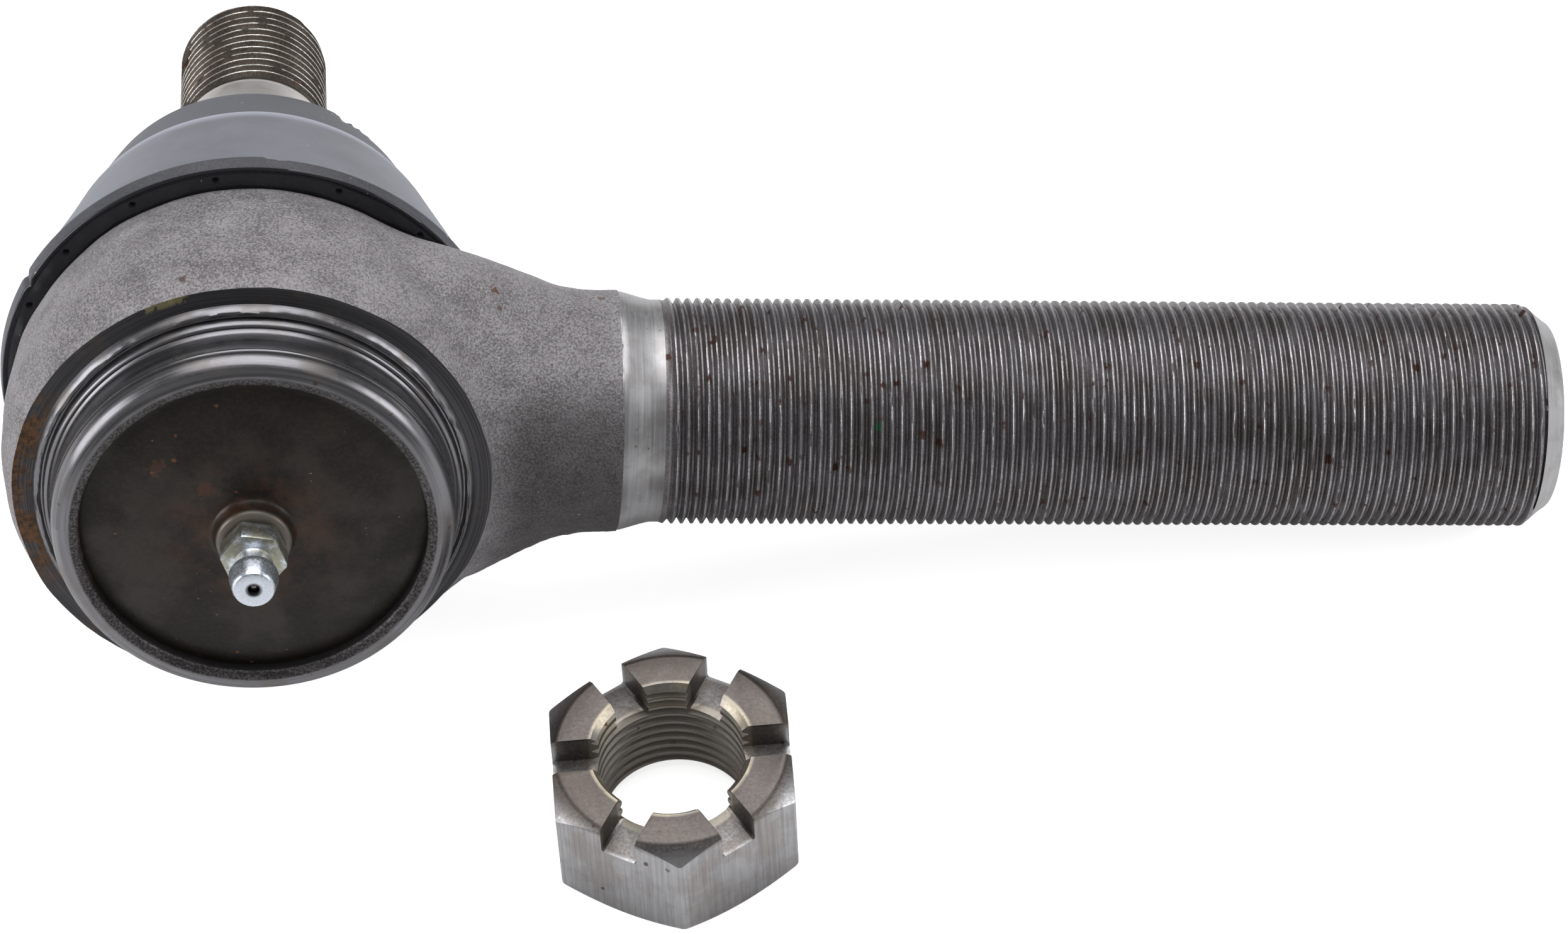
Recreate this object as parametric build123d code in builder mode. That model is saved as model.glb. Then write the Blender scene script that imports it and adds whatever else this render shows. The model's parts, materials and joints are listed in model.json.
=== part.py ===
from build123d import *
import math
import os

# Tie rod end, lying on a bench as it comes out of its box, with its nut beside it.
#
# Each piece is drawn about the ball centre, with +Z along the stud and +X along the shank. It is
# then laid on the bench as a whole: the boot's rim, the stud's tip and the shank's end touch it.
# Sizes are in millimetres.

# ---- driving dimensions ----
BALL_R = 19.05
FIT = 0.05
CLEAR = 0.3

SHANK_R = 31.75 / 2
SHANK_THREAD_START = 56.4
SHANK_THREAD_END = 180.2
SHANK_END = 183.2
SHANK_END_R = 13.3
NECK_END = 50.5
NECK_R = 16.75
NECK_HEIGHT = 16.95
BAND_END = 55.0
BAND_END_R = 15.6

RIM_R = 27.2
RIM_FACE = -30.2
LIP_R = 23.35
LIP_THICK = 1.5
PLATE_POCKET_R = 25.6
PLATE_STEP = -26.2
BORE_R = 24.8
BOOT_SEAT_Z = 6.4
BOOT_SEAT_R = 36.6
SCOOP_EDGE = (52, 17.5)
SCOOP_TOP = 40
BOSS_R = 26.5
BOSS_TOP = 12.6
MOUTH_R = 17.4

STUD_R = 22.225 / 2
STUD_THREAD_START = 71.5
STUD_END = 96.2
STUD_CHAMFER = 1.5
TAPER_LOW = 44.5
TAPER_PER_MM = 1 / 16
STUD_NECK_R = 10.8
STUD_NECK_TOP = 35.5
COTTER_R = 2.2
COTTER_Z = 90.8
COTTER_TURN = 16

BOOT_RIM_LOW = (34.9, 6.8)
BOOT_RIM_HIGH = (35.3, 9.2)
BOOT_RIDGE = (27.4, 34.9)
BOOT_TOP = (23.2, 47.1)
BOOT_HOLE_R = 13.3

NUT_FLATS = 32.6
NUT_HEIGHT = 18.0
NUT_BORE_R = 10.2
NUT_SINK_R = 11.6
NUT_FACE_R = 15.7
NUT_SLOT = 5.2
NUT_SLOT_DEPTH = 4.85
NUT_PLACE = (54.75, -49.95)
NUT_TURN = 0.7

# ---- how the part lies on the bench ----
# The bench touches the boot's rim and the stud's tip, which fixes how far the stud dips, and
# the end of the shank, which fixes how far the shank dips. All three are round.
tip_z = STUD_END - STUD_CHAMFER
dip = math.atan((BOOT_RIM_HIGH[0] - STUD_R) / (tip_z - BOOT_RIM_HIGH[1]))
bench_drop = BOOT_RIM_HIGH[1] * math.sin(dip) + BOOT_RIM_HIGH[0] * math.cos(dip)
shank_reach = math.hypot(SHANK_THREAD_END, SHANK_R)
shank_dip = math.asin(bench_drop / shank_reach) - math.atan2(SHANK_R, SHANK_THREAD_END)
stud_dip = math.asin(math.sin(dip) / math.cos(shank_dip))
lie = Rotation(0, math.degrees(shank_dip), 0) * Rotation(-90 - math.degrees(stud_dip), 0, 0)
bench = -bench_drop

os.makedirs("parts", exist_ok=True)


def save(name, piece, place):
    """Writes one finished piece, set in its place, under its own name."""
    piece = place * piece
    piece.label = name
    export_step(piece, f"parts/{name}.step")


# ---- socket forging: cup, neck and shank in one ----
# The cup is turned inside and at both faces. Its lower rim is rolled in over the cover plate.
with BuildPart() as socket_forging:
    with BuildSketch(Plane.XZ):
        with BuildLine():
            Polyline(
                (0, -19.9),
                (32.3, -19.9),
                (33.6, -16.5),
                (34.4, -12),
            )
            Spline((34.4, -12), (34.4, -5), (33.7, 0.5), (31.8, BOOT_SEAT_Z), (29.3, BOSS_TOP))
            Polyline((29.3, BOSS_TOP), (26, BOSS_TOP + 3), (0, BOSS_TOP + 3), (0, -19.9))
        make_face()
    revolve(axis=Axis.Z)

    # The neck is broad and hangs a little low where it leaves the cup, and becomes round at the shank.
    flare = ((8, 29.0, -2), (16, 28.3, -2), (22, 27.3, -2), (27, 25.8, -2), (31, 24.0, -1.6))
    round_part = ((34.7, 21.9, -0.9), (38.3, 19.7, -0.5), (41.8, 17.9, -0.2), (46, 17.0, 0))
    for x, half_width, height in flare + round_part + ((NECK_END, NECK_HEIGHT, 0),):
        with BuildSketch(Plane.YZ.offset(x)):
            with Locations((0, height)):
                Ellipse(half_width, NECK_HEIGHT - 0.01)
    loft()

    # The boss and the boot's seat are turned round the stud axis, which scoops the top of the neck.
    with BuildSketch(Plane.XZ):
        with BuildLine():
            Polyline(
                (0, SCOOP_TOP),
                (0, BOSS_TOP),
                (BOSS_R - 1, BOSS_TOP),
                (BOSS_R, BOSS_TOP - 1),
                (BOSS_R, BOOT_SEAT_Z),
                (BOOT_SEAT_R, BOOT_SEAT_Z),
            )
            RadiusArc((BOOT_SEAT_R, BOOT_SEAT_Z), SCOOP_EDGE, -24)
            Polyline(SCOOP_EDGE, (SCOOP_EDGE[0], SCOOP_TOP), (0, SCOOP_TOP))
        make_face()
    revolve(axis=Axis.Z, mode=Mode.SUBTRACT)

    # The shank: a smooth band, then the threaded length at its full diameter, then a chamfer.
    with BuildSketch(Plane.XZ):
        with BuildLine():
            Polyline(
                (NECK_END - 8, 0),
                (NECK_END - 8, NECK_R - 0.6),
                (NECK_END - 0.6, NECK_R),
                (NECK_END + 0.2, NECK_R),
                (BAND_END, BAND_END_R),
                (SHANK_THREAD_START, BAND_END_R),
                (SHANK_THREAD_START, SHANK_R),
                (SHANK_THREAD_END, SHANK_R),
                (SHANK_END, SHANK_END_R),
                (SHANK_END, 0),
                close=True,
            )
        make_face()
    revolve(axis=Axis.X)

    # The machined shoulder and the rolled rim below the cup.
    with BuildSketch(Plane.XZ):
        with BuildLine():
            Polyline(
                (0, -19.8),
                (30.0, -19.8),
                (30.0, -19.9),
                (29.3, -20.9),
                (28.7, -21.3),
                (27.8, -22.1),
                (RIM_R, -22.7),
                (RIM_R, -27.6),
            )
            RadiusArc((RIM_R, -27.6), (RIM_R - 2.6, RIM_FACE), 2.6)
            Polyline((RIM_R - 2.6, RIM_FACE), (LIP_R, RIM_FACE + 0.5), (0, RIM_FACE + 0.5), (0, -19.8))
        make_face()
    revolve(axis=Axis.Z)

    # The bore: lip, plate pocket, bearing bore, the seat of the upper bearing and the mouth.
    with BuildSketch(Plane.XZ):
        with BuildLine():
            Polyline(
                (0, RIM_FACE - 1),
                (LIP_R, RIM_FACE - 1),
                (LIP_R, RIM_FACE + 0.5 + LIP_THICK),
                (PLATE_POCKET_R, RIM_FACE + 0.5 + LIP_THICK),
                (PLATE_POCKET_R, PLATE_STEP),
                (BORE_R, PLATE_STEP),
                (BORE_R, 1.4),
                (MOUTH_R, 10.9),
                (MOUTH_R + 1.4, BOSS_TOP),
                (MOUTH_R + 1.4, BOSS_TOP + 1),
                (0, BOSS_TOP + 1),
                close=True,
            )
        make_face()
    revolve(axis=Axis.Z, mode=Mode.SUBTRACT)
save("socket_forging", socket_forging.part, lie)

# ---- upper bearing: the race that holds the ball in ----
race_r = BALL_R + FIT
race_top_r = 16.2
race_top_z = math.sqrt(race_r**2 - race_top_r**2)
with BuildPart() as upper_bearing:
    with BuildSketch(Plane.XZ):
        with BuildLine():
            Line((race_r, 0), (BORE_R - FIT, 0))
            Line((BORE_R - FIT, 0), (BORE_R - FIT, 1.2))
            Line((BORE_R - FIT, 1.2), (MOUTH_R + 0.1, 10.6))
            Line((MOUTH_R + 0.1, 10.6), (race_top_r, race_top_z))
            RadiusArc((race_top_r, race_top_z), (race_r, 0), race_r)
        make_face()
    revolve(axis=Axis.Z)
save("upper_bearing", upper_bearing.part, lie)

# ---- lower bearing: the race that the spring pushes up against the ball ----
LOWER_BASE = -20.4
LOWER_GAP = -1.0
grease_hole_r = 6.4
low_hole_z = -math.sqrt(race_r**2 - grease_hole_r**2)
low_top_r = math.sqrt(race_r**2 - LOWER_GAP**2)
with BuildPart() as lower_bearing:
    with BuildSketch(Plane.XZ):
        with BuildLine():
            Polyline(
                (low_top_r, LOWER_GAP),
                (BORE_R - FIT, LOWER_GAP),
                (BORE_R - FIT, LOWER_BASE),
                (grease_hole_r, LOWER_BASE),
                (grease_hole_r, low_hole_z),
            )
            RadiusArc((grease_hole_r, low_hole_z), (low_top_r, LOWER_GAP), -race_r)
        make_face()
    revolve(axis=Axis.Z)
save("lower_bearing", lower_bearing.part, lie)

# ---- preload spring: a dished disc ----
with BuildPart() as preload_spring:
    with BuildSketch(Plane.XZ):
        with BuildLine():
            Polyline((8.5, -22.0), (23.6, -20.5), (23.6, -22.2), (8.5, -23.7), close=True)
        make_face()
    revolve(axis=Axis.Z)
save("preload_spring", preload_spring.part, lie)

# ---- spring seat: a flat washer that the spring stands on ----
with BuildPart() as spring_seat:
    with BuildSketch(Plane.XY.offset(-25.6)):
        Circle(22.0)
        Circle(6.0, mode=Mode.SUBTRACT)
    extrude(amount=1.8)
save("spring_seat", spring_seat.part, lie)

# ---- cover seal: an O-ring in the corner above the plate's rim ----
with BuildPart() as cover_seal:
    with BuildSketch(Plane.XZ):
        with Locations((BORE_R - 1.15, PLATE_STEP + 1.15)):
            Circle(1.05)
    revolve(axis=Axis.Z)
save("cover_seal", cover_seal.part, lie)

# ---- cover plate: pressed steel, domed outward, with a drawn collar for the fitting ----
PLATE_THICK = 1.9
plate_edge_z = RIM_FACE + 0.5 + LIP_THICK + 0.02
COLLAR_HOLE_R = 3.0
with BuildPart() as cover_plate:
    with BuildSketch(Plane.XZ):
        with BuildLine():
            Polyline(
                (COLLAR_HOLE_R, -32.9),
                (4.4, -32.9),
            )
            RadiusArc((4.4, -32.9), (5.15, -32.15), -0.75)
            Line((5.15, -32.15), (5.3, -31.0))
            RadiusArc((5.3, -31.0), (6.3, -30.05), 1.0)
            Spline((6.3, -30.05), (14, -29.6), (22.9, plate_edge_z))
            Polyline(
                (22.9, plate_edge_z),
                (PLATE_POCKET_R - 0.1, plate_edge_z),
                (PLATE_POCKET_R - 0.1, PLATE_STEP - 0.02),
                (22.9, PLATE_STEP - 0.02),
            )
            Spline((22.9, PLATE_STEP - 0.02), (14, -29.6 + PLATE_THICK), (6.3, -30.05 + PLATE_THICK))
            Line((6.3, -30.05 + PLATE_THICK), (COLLAR_HOLE_R, -29.2))
            Line((COLLAR_HOLE_R, -29.2), (COLLAR_HOLE_R, -32.9))
        make_face()
    revolve(axis=Axis.Z)
save("cover_plate", cover_plate.part, lie)

# ---- grease fitting: threaded root, hexagon, waist and nipple, bored through ----
HEX_FLATS = 8.0
MOUTH_HOLE_R = 0.72
CHECK_BORE_R = 1.3
CHECK_SEAT_Z = -42.5
with BuildPart() as grease_fitting:
    with BuildSketch(Plane.XZ):
        with BuildLine():
            Polyline(
                (0, -27.4),
                (COLLAR_HOLE_R - 0.02, -27.4),
                (COLLAR_HOLE_R - 0.02, -33.2),
                (3.6, -33.5),
                (3.6, -37.0),
                (2.35, -37.6),
                (2.35, -39.2),
                (3.32, -40.0),
                (3.32, -40.8),
                (2.75, -43.4),
                (0, -43.4),
                close=True,
            )
        make_face()
    revolve(axis=Axis.Z)
    with BuildSketch(Plane.XY.offset(-33.4)):
        RegularPolygon(HEX_FLATS / 2, 6, major_radius=False, rotation=8)
    extrude(amount=-3.7)
    with BuildSketch(Plane.XZ):
        with BuildLine():
            Polyline(
                (0, -27),
                (CHECK_BORE_R, -27),
                (CHECK_BORE_R, CHECK_SEAT_Z),
                (MOUTH_HOLE_R, CHECK_SEAT_Z - 0.4),
                (MOUTH_HOLE_R, -44),
                (0, -44),
                close=True,
            )
        make_face()
    revolve(axis=Axis.Z, mode=Mode.SUBTRACT)
save("grease_fitting", grease_fitting.part, lie)

# ---- grease check ball: shuts the mouth of the fitting ----
CHECK_BALL_R = 1.15
CHECK_BALL_Z = -41.55
with BuildPart() as grease_check_ball:
    with BuildSketch(Plane.XZ):
        with BuildLine():
            ThreePointArc(
                (0, CHECK_BALL_Z - CHECK_BALL_R),
                (CHECK_BALL_R, CHECK_BALL_Z),
                (0, CHECK_BALL_Z + CHECK_BALL_R),
            )
            Line((0, CHECK_BALL_Z + CHECK_BALL_R), (0, CHECK_BALL_Z - CHECK_BALL_R))
        make_face()
    revolve(axis=Axis.Z)
save("grease_check_ball", grease_check_ball.part, lie)

# ---- grease check spring: a small coil behind the ball ----
COIL_TOP = -30.5
COIL_BOTTOM = CHECK_BALL_Z + CHECK_BALL_R + 0.25
with BuildPart() as grease_check_spring:
    with BuildLine() as coil_path:
        Helix(pitch=1.4, height=COIL_TOP - COIL_BOTTOM, radius=0.95, center=(0, 0, COIL_BOTTOM))
    with BuildSketch(Plane(origin=coil_path.line @ 0, z_dir=coil_path.line % 0)):
        Circle(0.16)
    sweep()
save("grease_check_spring", grease_check_spring.part, lie)

# ---- ball stud: ball, neck, taper and threaded end ----
taper_low_r = STUD_R + 0.14 + (STUD_THREAD_START - TAPER_LOW) * TAPER_PER_MM
NECK_FILLET = 2.5
fillet_r = STUD_NECK_R + NECK_FILLET
fillet_z = math.sqrt((BALL_R + NECK_FILLET) ** 2 - fillet_r**2)
ball_meet = BALL_R / (BALL_R + NECK_FILLET)
BALL_FLAT_R = 6.0
ball_flat_z = -math.sqrt(BALL_R**2 - BALL_FLAT_R**2)
with BuildPart() as ball_stud:
    with BuildSketch(Plane.XZ):
        with BuildLine():
            Line((0, ball_flat_z), (BALL_FLAT_R, ball_flat_z))
            ThreePointArc(
                (BALL_FLAT_R, ball_flat_z),
                (BALL_R, 0),
                (fillet_r * ball_meet, fillet_z * ball_meet),
            )
            RadiusArc(
                (fillet_r * ball_meet, fillet_z * ball_meet),
                (STUD_NECK_R, fillet_z),
                NECK_FILLET,
            )
            Polyline(
                (STUD_NECK_R, fillet_z),
                (STUD_NECK_R, STUD_NECK_TOP),
                (taper_low_r - 0.6, TAPER_LOW - 2.4),
                (taper_low_r, TAPER_LOW),
                (STUD_R + 0.14, STUD_THREAD_START - 0.6),
                (STUD_R, STUD_THREAD_START),
                (STUD_R, STUD_END - STUD_CHAMFER),
                (STUD_R - STUD_CHAMFER, STUD_END),
                (1.6, STUD_END),
                (0, STUD_END - 1.6),
                (0, ball_flat_z),
            )
        make_face()
    revolve(axis=Axis.Z)
    with BuildSketch(Plane((0, 0, COTTER_Z), z_dir=Vector(1, 0, 0).rotate(Axis.Z, COTTER_TURN))):
        Circle(COTTER_R)
    extrude(amount=2 * STUD_R, both=True, mode=Mode.SUBTRACT)
save("ball_stud", ball_stud.part, lie)

# ---- dust boot: base, cone, ridge and thick neck, in one piece of rubber ----
BASE_INNER_R = BOSS_R + CLEAR
BASE_TOP = 12.4
RING_R = (28.2, 30.2)
RING_Z = (8.0, 11.0)
NECK_POCKET_R = 17.2
NECK_POCKET_TOP = 43.0
with BuildPart() as dust_boot:
    with BuildSketch(Plane.XZ):
        with BuildLine():
            Polyline(
                (BASE_INNER_R, BOOT_RIM_LOW[1]),
                BOOT_RIM_LOW,
                BOOT_RIM_HIGH,
                BOOT_RIDGE,
                BOOT_TOP,
                (BOOT_HOLE_R, BOOT_TOP[1]),
                (BOOT_HOLE_R, NECK_POCKET_TOP),
                (NECK_POCKET_R, NECK_POCKET_TOP),
                (NECK_POCKET_R, 38.4),
                (BOOT_RIDGE[0] - 3.2, 34.4),
                (31.9, BASE_TOP + 0.6),
                (31.0, BASE_TOP),
                (BASE_INNER_R, BASE_TOP),
                close=True,
            )
        make_face()
    revolve(axis=Axis.Z)
    with BuildSketch(Plane.XZ):
        with Locations((sum(RING_R) / 2, sum(RING_Z) / 2)):
            Rectangle(RING_R[1] - RING_R[0], RING_Z[1] - RING_Z[0])
    revolve(axis=Axis.Z, mode=Mode.SUBTRACT)
save("dust_boot", dust_boot.part, lie)

# ---- boot base ring: the steel band moulded in the boot's base ----
with BuildPart() as boot_base_ring:
    with BuildSketch(Plane.XY.offset(RING_Z[0] + 0.02)):
        Circle(RING_R[1] - 0.02)
        Circle(RING_R[0] + 0.02, mode=Mode.SUBTRACT)
    extrude(amount=RING_Z[1] - RING_Z[0] - 0.04)
save("boot_base_ring", boot_base_ring.part, lie)

# ---- boot neck ring: the bush in the boot's neck that turns on the stud ----
with BuildPart() as boot_neck_ring:
    with BuildSketch(Plane.XZ):
        with BuildLine():
            Polyline(
                (13.4, 38.6),
                (NECK_POCKET_R - 0.1, 38.6),
                (NECK_POCKET_R - 0.1, NECK_POCKET_TOP - 0.1),
                (14.2, NECK_POCKET_TOP - 0.1),
                (13.4, NECK_POCKET_TOP - 0.9),
                close=True,
            )
        make_face()
    revolve(axis=Axis.Z)
save("boot_neck_ring", boot_neck_ring.part, lie)

# ---- castle nut: hexagon with chamfered corners, six slots on its flats ----
corner_r = NUT_FLATS / 2 / math.cos(math.radians(30))
chamfer_drop = (corner_r - NUT_FACE_R) * math.tan(math.radians(30))
with BuildPart() as castle_nut:
    with BuildSketch(Plane.XY):
        RegularPolygon(NUT_FLATS / 2, 6, major_radius=False, rotation=30)
    extrude(amount=NUT_HEIGHT)
    with BuildSketch(Plane.XZ):
        with BuildLine():
            Polyline(
                (NUT_BORE_R, NUT_SINK_R - NUT_BORE_R),
                (NUT_SINK_R, 0),
                (NUT_FACE_R, 0),
                (corner_r, chamfer_drop),
                (corner_r, NUT_HEIGHT - chamfer_drop),
                (NUT_FACE_R, NUT_HEIGHT),
                (NUT_SINK_R, NUT_HEIGHT),
                (NUT_BORE_R, NUT_HEIGHT - NUT_SINK_R + NUT_BORE_R),
                close=True,
            )
        make_face()
    revolve(axis=Axis.Z, mode=Mode.INTERSECT)
    with BuildSketch(Plane.XY.offset(NUT_HEIGHT)):
        for turn in (0, 60, 120):
            Rectangle(3 * NUT_FLATS, NUT_SLOT, rotation=turn)
    extrude(amount=-NUT_SLOT_DEPTH, mode=Mode.SUBTRACT)
save("castle_nut", castle_nut.part, Location((*NUT_PLACE, bench), (0, 0, NUT_TURN)))

# ---- where the joints and mounts stand, for the record ----
stud_axis = (lie * Location((0, 0, 1))).position
shank_axis = (lie * Location((1, 0, 0))).position
lean_axis = (lie * Location((0, 1, 0))).position
cotter_axis = Vector(1, 0, 0).rotate(Axis.Z, COTTER_TURN)
for name, point in (
    ("stud axis", stud_axis),
    ("shank axis", shank_axis),
    ("lean axis", lean_axis),
    ("stud thread middle", stud_axis * ((STUD_THREAD_START + STUD_END - STUD_CHAMFER) / 2)),
    ("shank thread middle", shank_axis * ((SHANK_THREAD_START + SHANK_THREAD_END) / 2)),
    ("cotter hole", stud_axis * COTTER_Z),
    ("cotter direction", (lie * Location(tuple(cotter_axis))).position),
    ("taper middle", stud_axis * ((TAPER_LOW + STUD_THREAD_START) / 2)),
    ("grease mouth", stud_axis * -43.4),
    ("bench height", Vector(0, 0, bench)),
):
    print(name, [round(value, 5) for value in point])
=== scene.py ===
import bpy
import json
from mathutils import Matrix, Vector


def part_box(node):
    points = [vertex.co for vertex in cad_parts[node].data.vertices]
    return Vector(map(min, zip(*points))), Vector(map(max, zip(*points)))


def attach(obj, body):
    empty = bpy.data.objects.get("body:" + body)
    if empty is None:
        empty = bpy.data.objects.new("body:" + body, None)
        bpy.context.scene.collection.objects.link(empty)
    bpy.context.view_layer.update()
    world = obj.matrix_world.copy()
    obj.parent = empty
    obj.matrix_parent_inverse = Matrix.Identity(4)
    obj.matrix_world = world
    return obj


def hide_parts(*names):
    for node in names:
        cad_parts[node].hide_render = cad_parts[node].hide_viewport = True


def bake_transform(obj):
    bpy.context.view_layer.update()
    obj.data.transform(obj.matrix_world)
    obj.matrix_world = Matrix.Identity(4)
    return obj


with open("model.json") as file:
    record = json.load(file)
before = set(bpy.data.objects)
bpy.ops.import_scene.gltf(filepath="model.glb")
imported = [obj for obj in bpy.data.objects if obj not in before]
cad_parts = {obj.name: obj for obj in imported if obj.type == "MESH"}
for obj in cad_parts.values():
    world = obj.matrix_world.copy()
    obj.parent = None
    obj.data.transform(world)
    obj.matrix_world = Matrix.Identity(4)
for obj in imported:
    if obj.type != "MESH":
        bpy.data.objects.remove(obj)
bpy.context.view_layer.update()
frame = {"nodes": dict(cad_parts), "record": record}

import json
import math

import bmesh
import bpy
import numpy as np
from mathutils import Matrix, Vector

# ---- socket forging ----
# The cup, the neck and the shank are one steel forging, shot-blasted grey. The cup is turned below
# and its rim rolled in over the cover plate. The shank's thread, 18 to the inch, is rolled on.

# Sizes are in millimetres about the ball's centre, with +Z along the stud and +X along the shank.
# Each piece is drawn so, and lay_down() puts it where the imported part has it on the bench.
MM = 0.001
mounts = {mount["name"]: mount for mount in frame["record"]["mounts"]}
shank_axis = Vector(mounts["shank_thread"]["axis"]).normalized()
stud_axis = Vector(mounts["stud_thread"]["axis"]).normalized()
LIE = Matrix((shank_axis, stud_axis.cross(shank_axis), stud_axis)).transposed()


def put(name, data):
    """Adds an object to the scene."""
    made = bpy.data.objects.new(name, data)
    bpy.context.scene.collection.objects.link(made)
    return made


def make_piece(name, points, faces):
    """A mesh object from points and faces, with points that fall together made one."""
    mesh = bpy.data.meshes.new(name)
    mesh.from_pydata([tuple(point) for point in points], [], [tuple(face) for face in faces])
    work = bmesh.new()
    work.from_mesh(mesh)
    bmesh.ops.remove_doubles(work, verts=work.verts, dist=0.0005)
    bmesh.ops.recalc_face_normals(work, faces=work.faces)
    work.to_mesh(mesh)
    work.free()
    return put(name, mesh)


def grid_faces(rows, columns, first=0, shift=0):
    """Four-sided faces of a grid that closes on itself round the axis. A thread closes one turn up."""
    faces = []
    for row in range(rows - 1):
        for column in range(columns - 1):
            corner = first + row * columns + column
            faces.append((corner, corner + 1, corner + columns + 1, corner + columns))
        if row + 1 + shift < rows:
            corner = first + row * columns + columns - 1
            across = first + (row + shift) * columns
            faces.append((corner, across, across + columns, corner + columns))
    return faces


def round_points(radius, height, angle, along_shank):
    """Points of a turned surface, about the stud axis or about the shank."""
    side = radius * np.cos(angle)
    other = radius * np.sin(angle)
    order = (height, side, other) if along_shank else (side, other, height)
    return np.stack(np.broadcast_arrays(*order), axis=-1).reshape(-1, 3)


def turned(name, outline, steps, along_shank=False, wander=None):
    """A turned solid: outline is radius and height from the axis out and back, or a closed ring."""
    outline = np.array(outline, float)
    angle = np.arange(steps)[None, :] * 2 * math.pi / steps
    radius = outline[:, :1] + np.zeros((1, steps))
    height = outline[:, 1:] + np.zeros((1, steps))
    if wander:
        radius, height = wander(radius, height, angle)
    points = round_points(radius, height, angle, along_shank)
    return make_piece(name, points, grid_faces(len(outline), steps))


def threaded(name, ends, crest_r, pitch, outline, steps, before, after, along_shank=False, nicks=0, seed=1):
    """A right-hand threaded rod. ends are where the thread starts and stops, outline gives the
    depth below the crest through one turn, and before and after are turned lengths beyond it."""
    start, stop = ends
    per_turn = len(outline)
    turns = int((stop - start) / pitch) + 5
    angle = np.arange(steps)[None, :] * 2 * math.pi / steps
    part = np.array([share for share, depth in outline])
    depth = np.tile(np.array([depth for share, depth in outline]), turns)[:, None]
    rows = (np.arange(turns)[:, None] + part[None, :]).reshape(-1, 1)
    along = start + (rows - 2 + angle / (2 * math.pi)) * pitch
    chance = np.random.RandomState(seed)
    uneven = chance.normal(0, 1, (turns * per_turn, steps))
    uneven = (uneven + np.roll(uneven, 1, 1) + np.roll(uneven, 2, 1) + np.roll(uneven, 3, 1)) / 4
    depth = depth + 0.012 * uneven
    for nick in range(nicks):
        row = chance.randint(2, turns - 2) * per_turn + per_turn // 2
        column = chance.randint(0, steps)
        wide = chance.randint(1, 3)
        depth[row - 2:row + 2, column:column + wide] += chance.uniform(0.04, 0.16)
    crest_start, crest_stop = before[-1][0], after[0][0]
    full = start + 1.2 * pitch
    crest = np.interp(along, (start, start + 0.6 * pitch, stop - 0.01, stop),
                      (crest_start, crest_r, crest_r, crest_stop))
    cut = np.clip((along - start) / (full - start), 0, 1) * (along < stop)
    thread_r = crest - cut * depth
    along = np.clip(along, start, stop)
    points = [round_points(thread_r, along, angle, along_shank)]
    faces = grid_faces(turns * per_turn, steps, 0, per_turn)
    for block in (before, after):
        block = np.array(block, float)
        first = sum(len(group) for group in points)
        points.append(round_points(block[:, :1] + 0 * angle, block[:, 1:] + 0 * angle, angle, along_shank))
        faces += grid_faces(len(block), steps, first)
    return make_piece(name, np.concatenate(points), faces)


def combine(piece, tool, how):
    """Joins a piece with another, or cuts or keeps what the other covers, and drops the other."""
    change = piece.modifiers.new("combine", "BOOLEAN")
    change.operation = how
    change.object = tool
    change.solver = "MANIFOLD"
    settle(piece)
    bpy.data.objects.remove(tool)


def settle(piece):
    """Makes a piece's modifiers part of its mesh."""
    view = bpy.context.evaluated_depsgraph_get()
    done = bpy.data.meshes.new_from_object(piece.evaluated_get(view))
    piece.modifiers.clear()
    piece.data = done


def lay_down(piece, materials, choose=None, sharp=35, lie=LIE.to_4x4()):
    """Stores where each point was drawn, gives faces their material and puts the piece in place."""
    mesh = piece.data
    count = len(mesh.vertices)
    drawn = np.zeros(count * 3, np.float32)
    mesh.vertices.foreach_get("co", drawn)
    place = mesh.attributes.new("drawn_place", "FLOAT_VECTOR", "POINT")
    place.data.foreach_set("vector", drawn)
    mesh.materials.clear()
    for material in materials:
        mesh.materials.append(material)
    if choose:
        centres = np.zeros(len(mesh.polygons) * 3, np.float32)
        mesh.polygons.foreach_get("center", centres)
        index = choose(*centres.reshape(-1, 3).astype(float).T)
        mesh.polygons.foreach_set("material_index", index.astype(np.int32))
    mesh.shade_smooth()
    mesh.set_sharp_from_angle(angle=math.radians(sharp))
    mesh.transform(lie @ Matrix.Scale(MM, 4))
    mesh.update()


# The cup's side as forged, continued above and below to where it is turned off.
CUP_SIDE = ((32.3, -32), (32.3, -20.5), (33.6, -16.5), (34.4, -12), (34.4, -5), (33.7, 0.5), (31.8, 6.4),
            (29.3, 12.6), (27.2, 17), (26, 24))
NECK_WIDTH = ((0, 29), (8, 29), (16, 28.4), (22, 27.4), (27, 25.9), (31, 24.1), (34.7, 22.0), (38.3, 19.9),
              (41.8, 18.0), (46, 17.0), (50.5, 16.9), (56, 16.9))
NECK_DROP = ((0, 27, 31, 34.7, 38.3, 46), (-2, -2, -1.6, -0.9, -0.5, 0))
NECK_HIGH = 16.9
NECK_END = 50.5
WEB_ROUND = 7.0


def even_curve(points, low, high, spread):
    """A smooth curve through listed points, as closely spaced values."""
    points = np.array(points, float)
    at = np.linspace(low, high, 400)
    value = np.interp(at, points[:, 1], points[:, 0])
    weight = np.exp(-np.linspace(-2, 2, spread) ** 2)
    padded = np.pad(value, spread // 2, mode="edge")
    return at, np.convolve(padded, weight / weight.sum(), mode="valid")[:400]


cup_at, cup_r = even_curve(CUP_SIDE, -32, 24, 21)
neck_at, neck_w = even_curve([(w, x) for x, w in NECK_WIDTH], 0, 56, 31)
neck_slope = np.gradient(neck_w, neck_at)


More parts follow.
